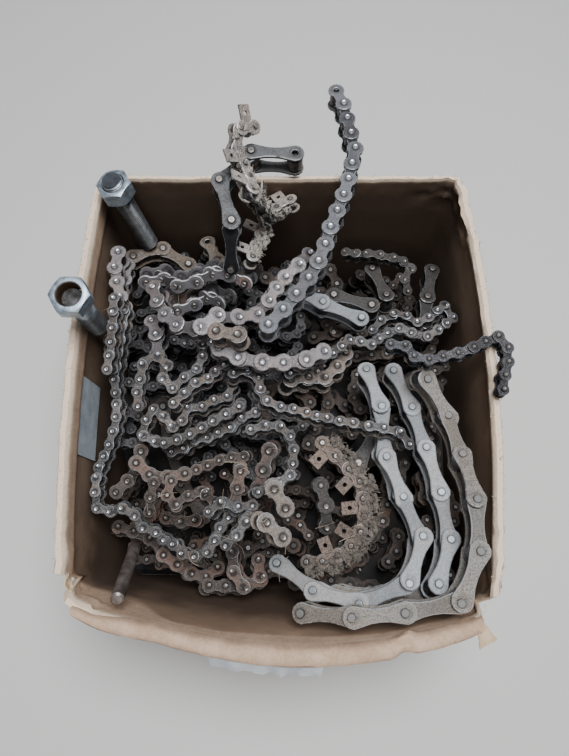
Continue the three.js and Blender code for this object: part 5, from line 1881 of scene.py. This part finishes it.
def fibre_shape(length, thick, bend):
    """A fibre along the z axis, with its middle at the origin."""
    shape = bmesh.new()
    bmesh.ops.create_cone(shape, cap_ends=True, segments=3, radius1=thick, radius2=thick / 2, depth=length)
    for part in range(1, FIBRE_PARTS):
        level = length * (part / FIBRE_PARTS - 0.5)
        everything = shape.verts[:] + shape.edges[:] + shape.faces[:]
        bmesh.ops.bisect_plane(shape, geom=everything, plane_co=(0, 0, level), plane_no=(0, 0, 1))
    for v in shape.verts:
        v.co.x += bend * math.cos(math.pi * v.co.z / length)
    return finished(shape, "fibre")


# Length, thickness and bends of each kind
FIBRE_SIZES = {"straw": (20, 0.24, (0.6, 2, 4)), "chaff": (6, 0.22, (0.2, 0.7, 1.4))}
FIBRES = {kind: [fibre_shape(length, thick, bend) for bend in bends]
          for kind, (length, thick, bends) in FIBRE_SIZES.items()}


def add_fibre(shape, kind, middle, reach, rise, rng):
    """One fibre with its middle at a place, turned at random, its ends up or down by at most rise."""
    along = Vector((1, 0, 0))
    along.rotate(Matrix.Rotation(rng.uniform(0, 2 * math.pi), 3, "Z"))
    along.z = rng.uniform(-rise, rise)
    turned = along.to_track_quat("Z", "Y").to_matrix().to_4x4()
    turned = turned @ Matrix.Rotation(rng.uniform(0, WHOLE_TURN), 4, "Z")
    stretched = Matrix.Diagonal((1, 1, reach / FIBRE_SIZES[kind][0], 1))
    matrix = Matrix.Scale(MM, 4) @ Matrix.Translation(middle) @ turned @ stretched
    add_copy(shape, rng.choice(FIBRES[kind]), matrix, rng.random())


# %% A finish for the crust
def crust_finish(name, dark, light, pale):
    finish = Finish(name, metallic=0.0)
    cloud = finish.noise(170, 5, 0.7)
    strands = finish.noise(950, 4, 0.8, (1, 0.3, 1))
    colour = finish.mix(cloud.between(0.3, 0.7), dark, light)
    colour = finish.mix(strands.between(0.5, 0.66) * 0.7, colour, pale)
    finish.set({"base_color": colour, "roughness": (cloud * 0.2 + 0.75).clamp()})
    finish.set({"normal": finish.bump(strands + cloud * 0.6, 0.9, 0.0016)})
    return finish


CRUST = crust_finish("dried_crust", (0.08, 0.066, 0.058), (0.2, 0.168, 0.145), (0.32, 0.275, 0.235))
ASHEN_CRUST = crust_finish("ashen_crust", (0.16, 0.142, 0.125), (0.42, 0.375, 0.33), (0.6, 0.54, 0.48))


# %% Crust on the chains with lugs, and straw over the heap
CRUSTED = [
    {"name": "chain_tabbed_straw", "side": 6.5, "wide": 7.5, "lumps": 22, "fibres": 70, "rise": 1},
    {"name": "chain_tabbed_back", "side": -4, "wide": 6, "lumps": 14, "fibres": 30, "rise": 1},
    {"name": "hanging_tabbed_links", "side": 0, "wide": 6, "lumps": 18, "fibres": 30, "rise": 1},
    {"name": "hanging_tabbed_end", "side": -3, "wide": 4, "lumps": 8, "fibres": 16, "rise": 0},
    {"name": "chain_tabbed_top", "side": -3, "wide": 5, "lumps": 8, "fibres": 16, "rise": 0},
]
LUMP_SIZES = (1.3, 3.4)
# The crust is highest in the middle of a link, and reaches down from there
CRUST_TOP = KINDS["tabbed"]["width"] / 2 - 1
CRUST_SLOPE = 0.3
CRUST_DEEP = 6
sower = random.Random(5)


def crust_link(lumps, fibres, a, b, crusted):
    """Lumps and fibres on one link."""
    _, side, up, _ = link_basis(a, b)
    for _ in range(crusted["lumps"]):
        across = crusted["side"] + sower.uniform(-1, 1) * crusted["wide"]
        high = CRUST_TOP - CRUST_SLOPE * abs(across) + sower.uniform(-CRUST_DEEP, 1.5 * crusted["rise"])
        middle = Vector(a + (b - a) * sower.random() + across * side + high * up)
        size = [sower.uniform(*LUMP_SIZES) for _ in range(3)]
        lump(lumps, middle, size, sower.uniform(0, 50))
    for _ in range(crusted["fibres"]):
        across = 1.1 * crusted["side"] + sower.uniform(-1, 1) * crusted["wide"]
        middle = Vector(a + (b - a) * sower.random() + across * side + sower.uniform(2, 11) * up)
        add_fibre(fibres, "chaff", middle, sower.uniform(3, 8), 0.8, sower)


for crusted in CRUSTED:
    name = crusted["name"]
    lumps, fibres = bmesh.new(), bmesh.new()
    for a, b in zip(pins_of[name], pins_of[name][1:]):
        crust_link(lumps, fibres, a, b, crusted)
    straw_chain = name == "chain_tabbed_straw"
    crust, chaff = (CRUST, CHAFF) if straw_chain else (ASHEN_CRUST, PALE_CHAFF)
    dressed("crust_on_" + name, lumps, crust, "chain_tabbed_steel", soft=False)
    made = made_piece("fibres_on_" + name, fibres, [chaff], "chain_tabbed_steel")
    print(name, "faces of fibres:", len(made.data.polygons))
STRAW_COUNT = 48
STRAW_ASIDE = 6
straw = bmesh.new()
in_carton = [strand for strand in STRANDS if not strand.get("over_rim")]
for _ in range(STRAW_COUNT):
    strand = sower.choice(in_carton)
    place = sower.choice(pins_of[strand["name"]])
    lift = KINDS[strand["kind"]]["width"] / 2 + 0.4
    aside = [sower.uniform(-STRAW_ASIDE, STRAW_ASIDE) for _ in range(2)]
    add_fibre(straw, "straw", Vector(place) + Vector((*aside, lift)), sower.uniform(8, 24), 0.15, sower)
made_piece("scattered_straw", straw, [STRAW], "chain_tabbed_steel")

# %% Paper fibres along the torn rim
FRAY_COUNT = 1100
FLAP_ROOM = 3
frayed = bmesh.new()
for _ in range(FRAY_COUNT):
    column = sower.randrange(len(OUTER_RING))
    x, y, z = wall_place(column, sower.choice(RIM_ROWS))
    x2, y2, _ = wall_place((column + 1) % len(OUTER_RING), RIM_ROWS[0])
    part = sower.random()
    on_flap = FLAP_TIP - FLAP_ROOM < x < FLAP_EAST + FLAP_ROOM and y < 0
    if not on_flap:
        middle = Vector((x + part * (x2 - x), y + part * (y2 - y), z + 0.3))
        add_fibre(frayed, "chaff", middle, sower.uniform(2, 5), 0.9, sower)
made_piece("frayed_rim", frayed, [FRAY], "board")

low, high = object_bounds()
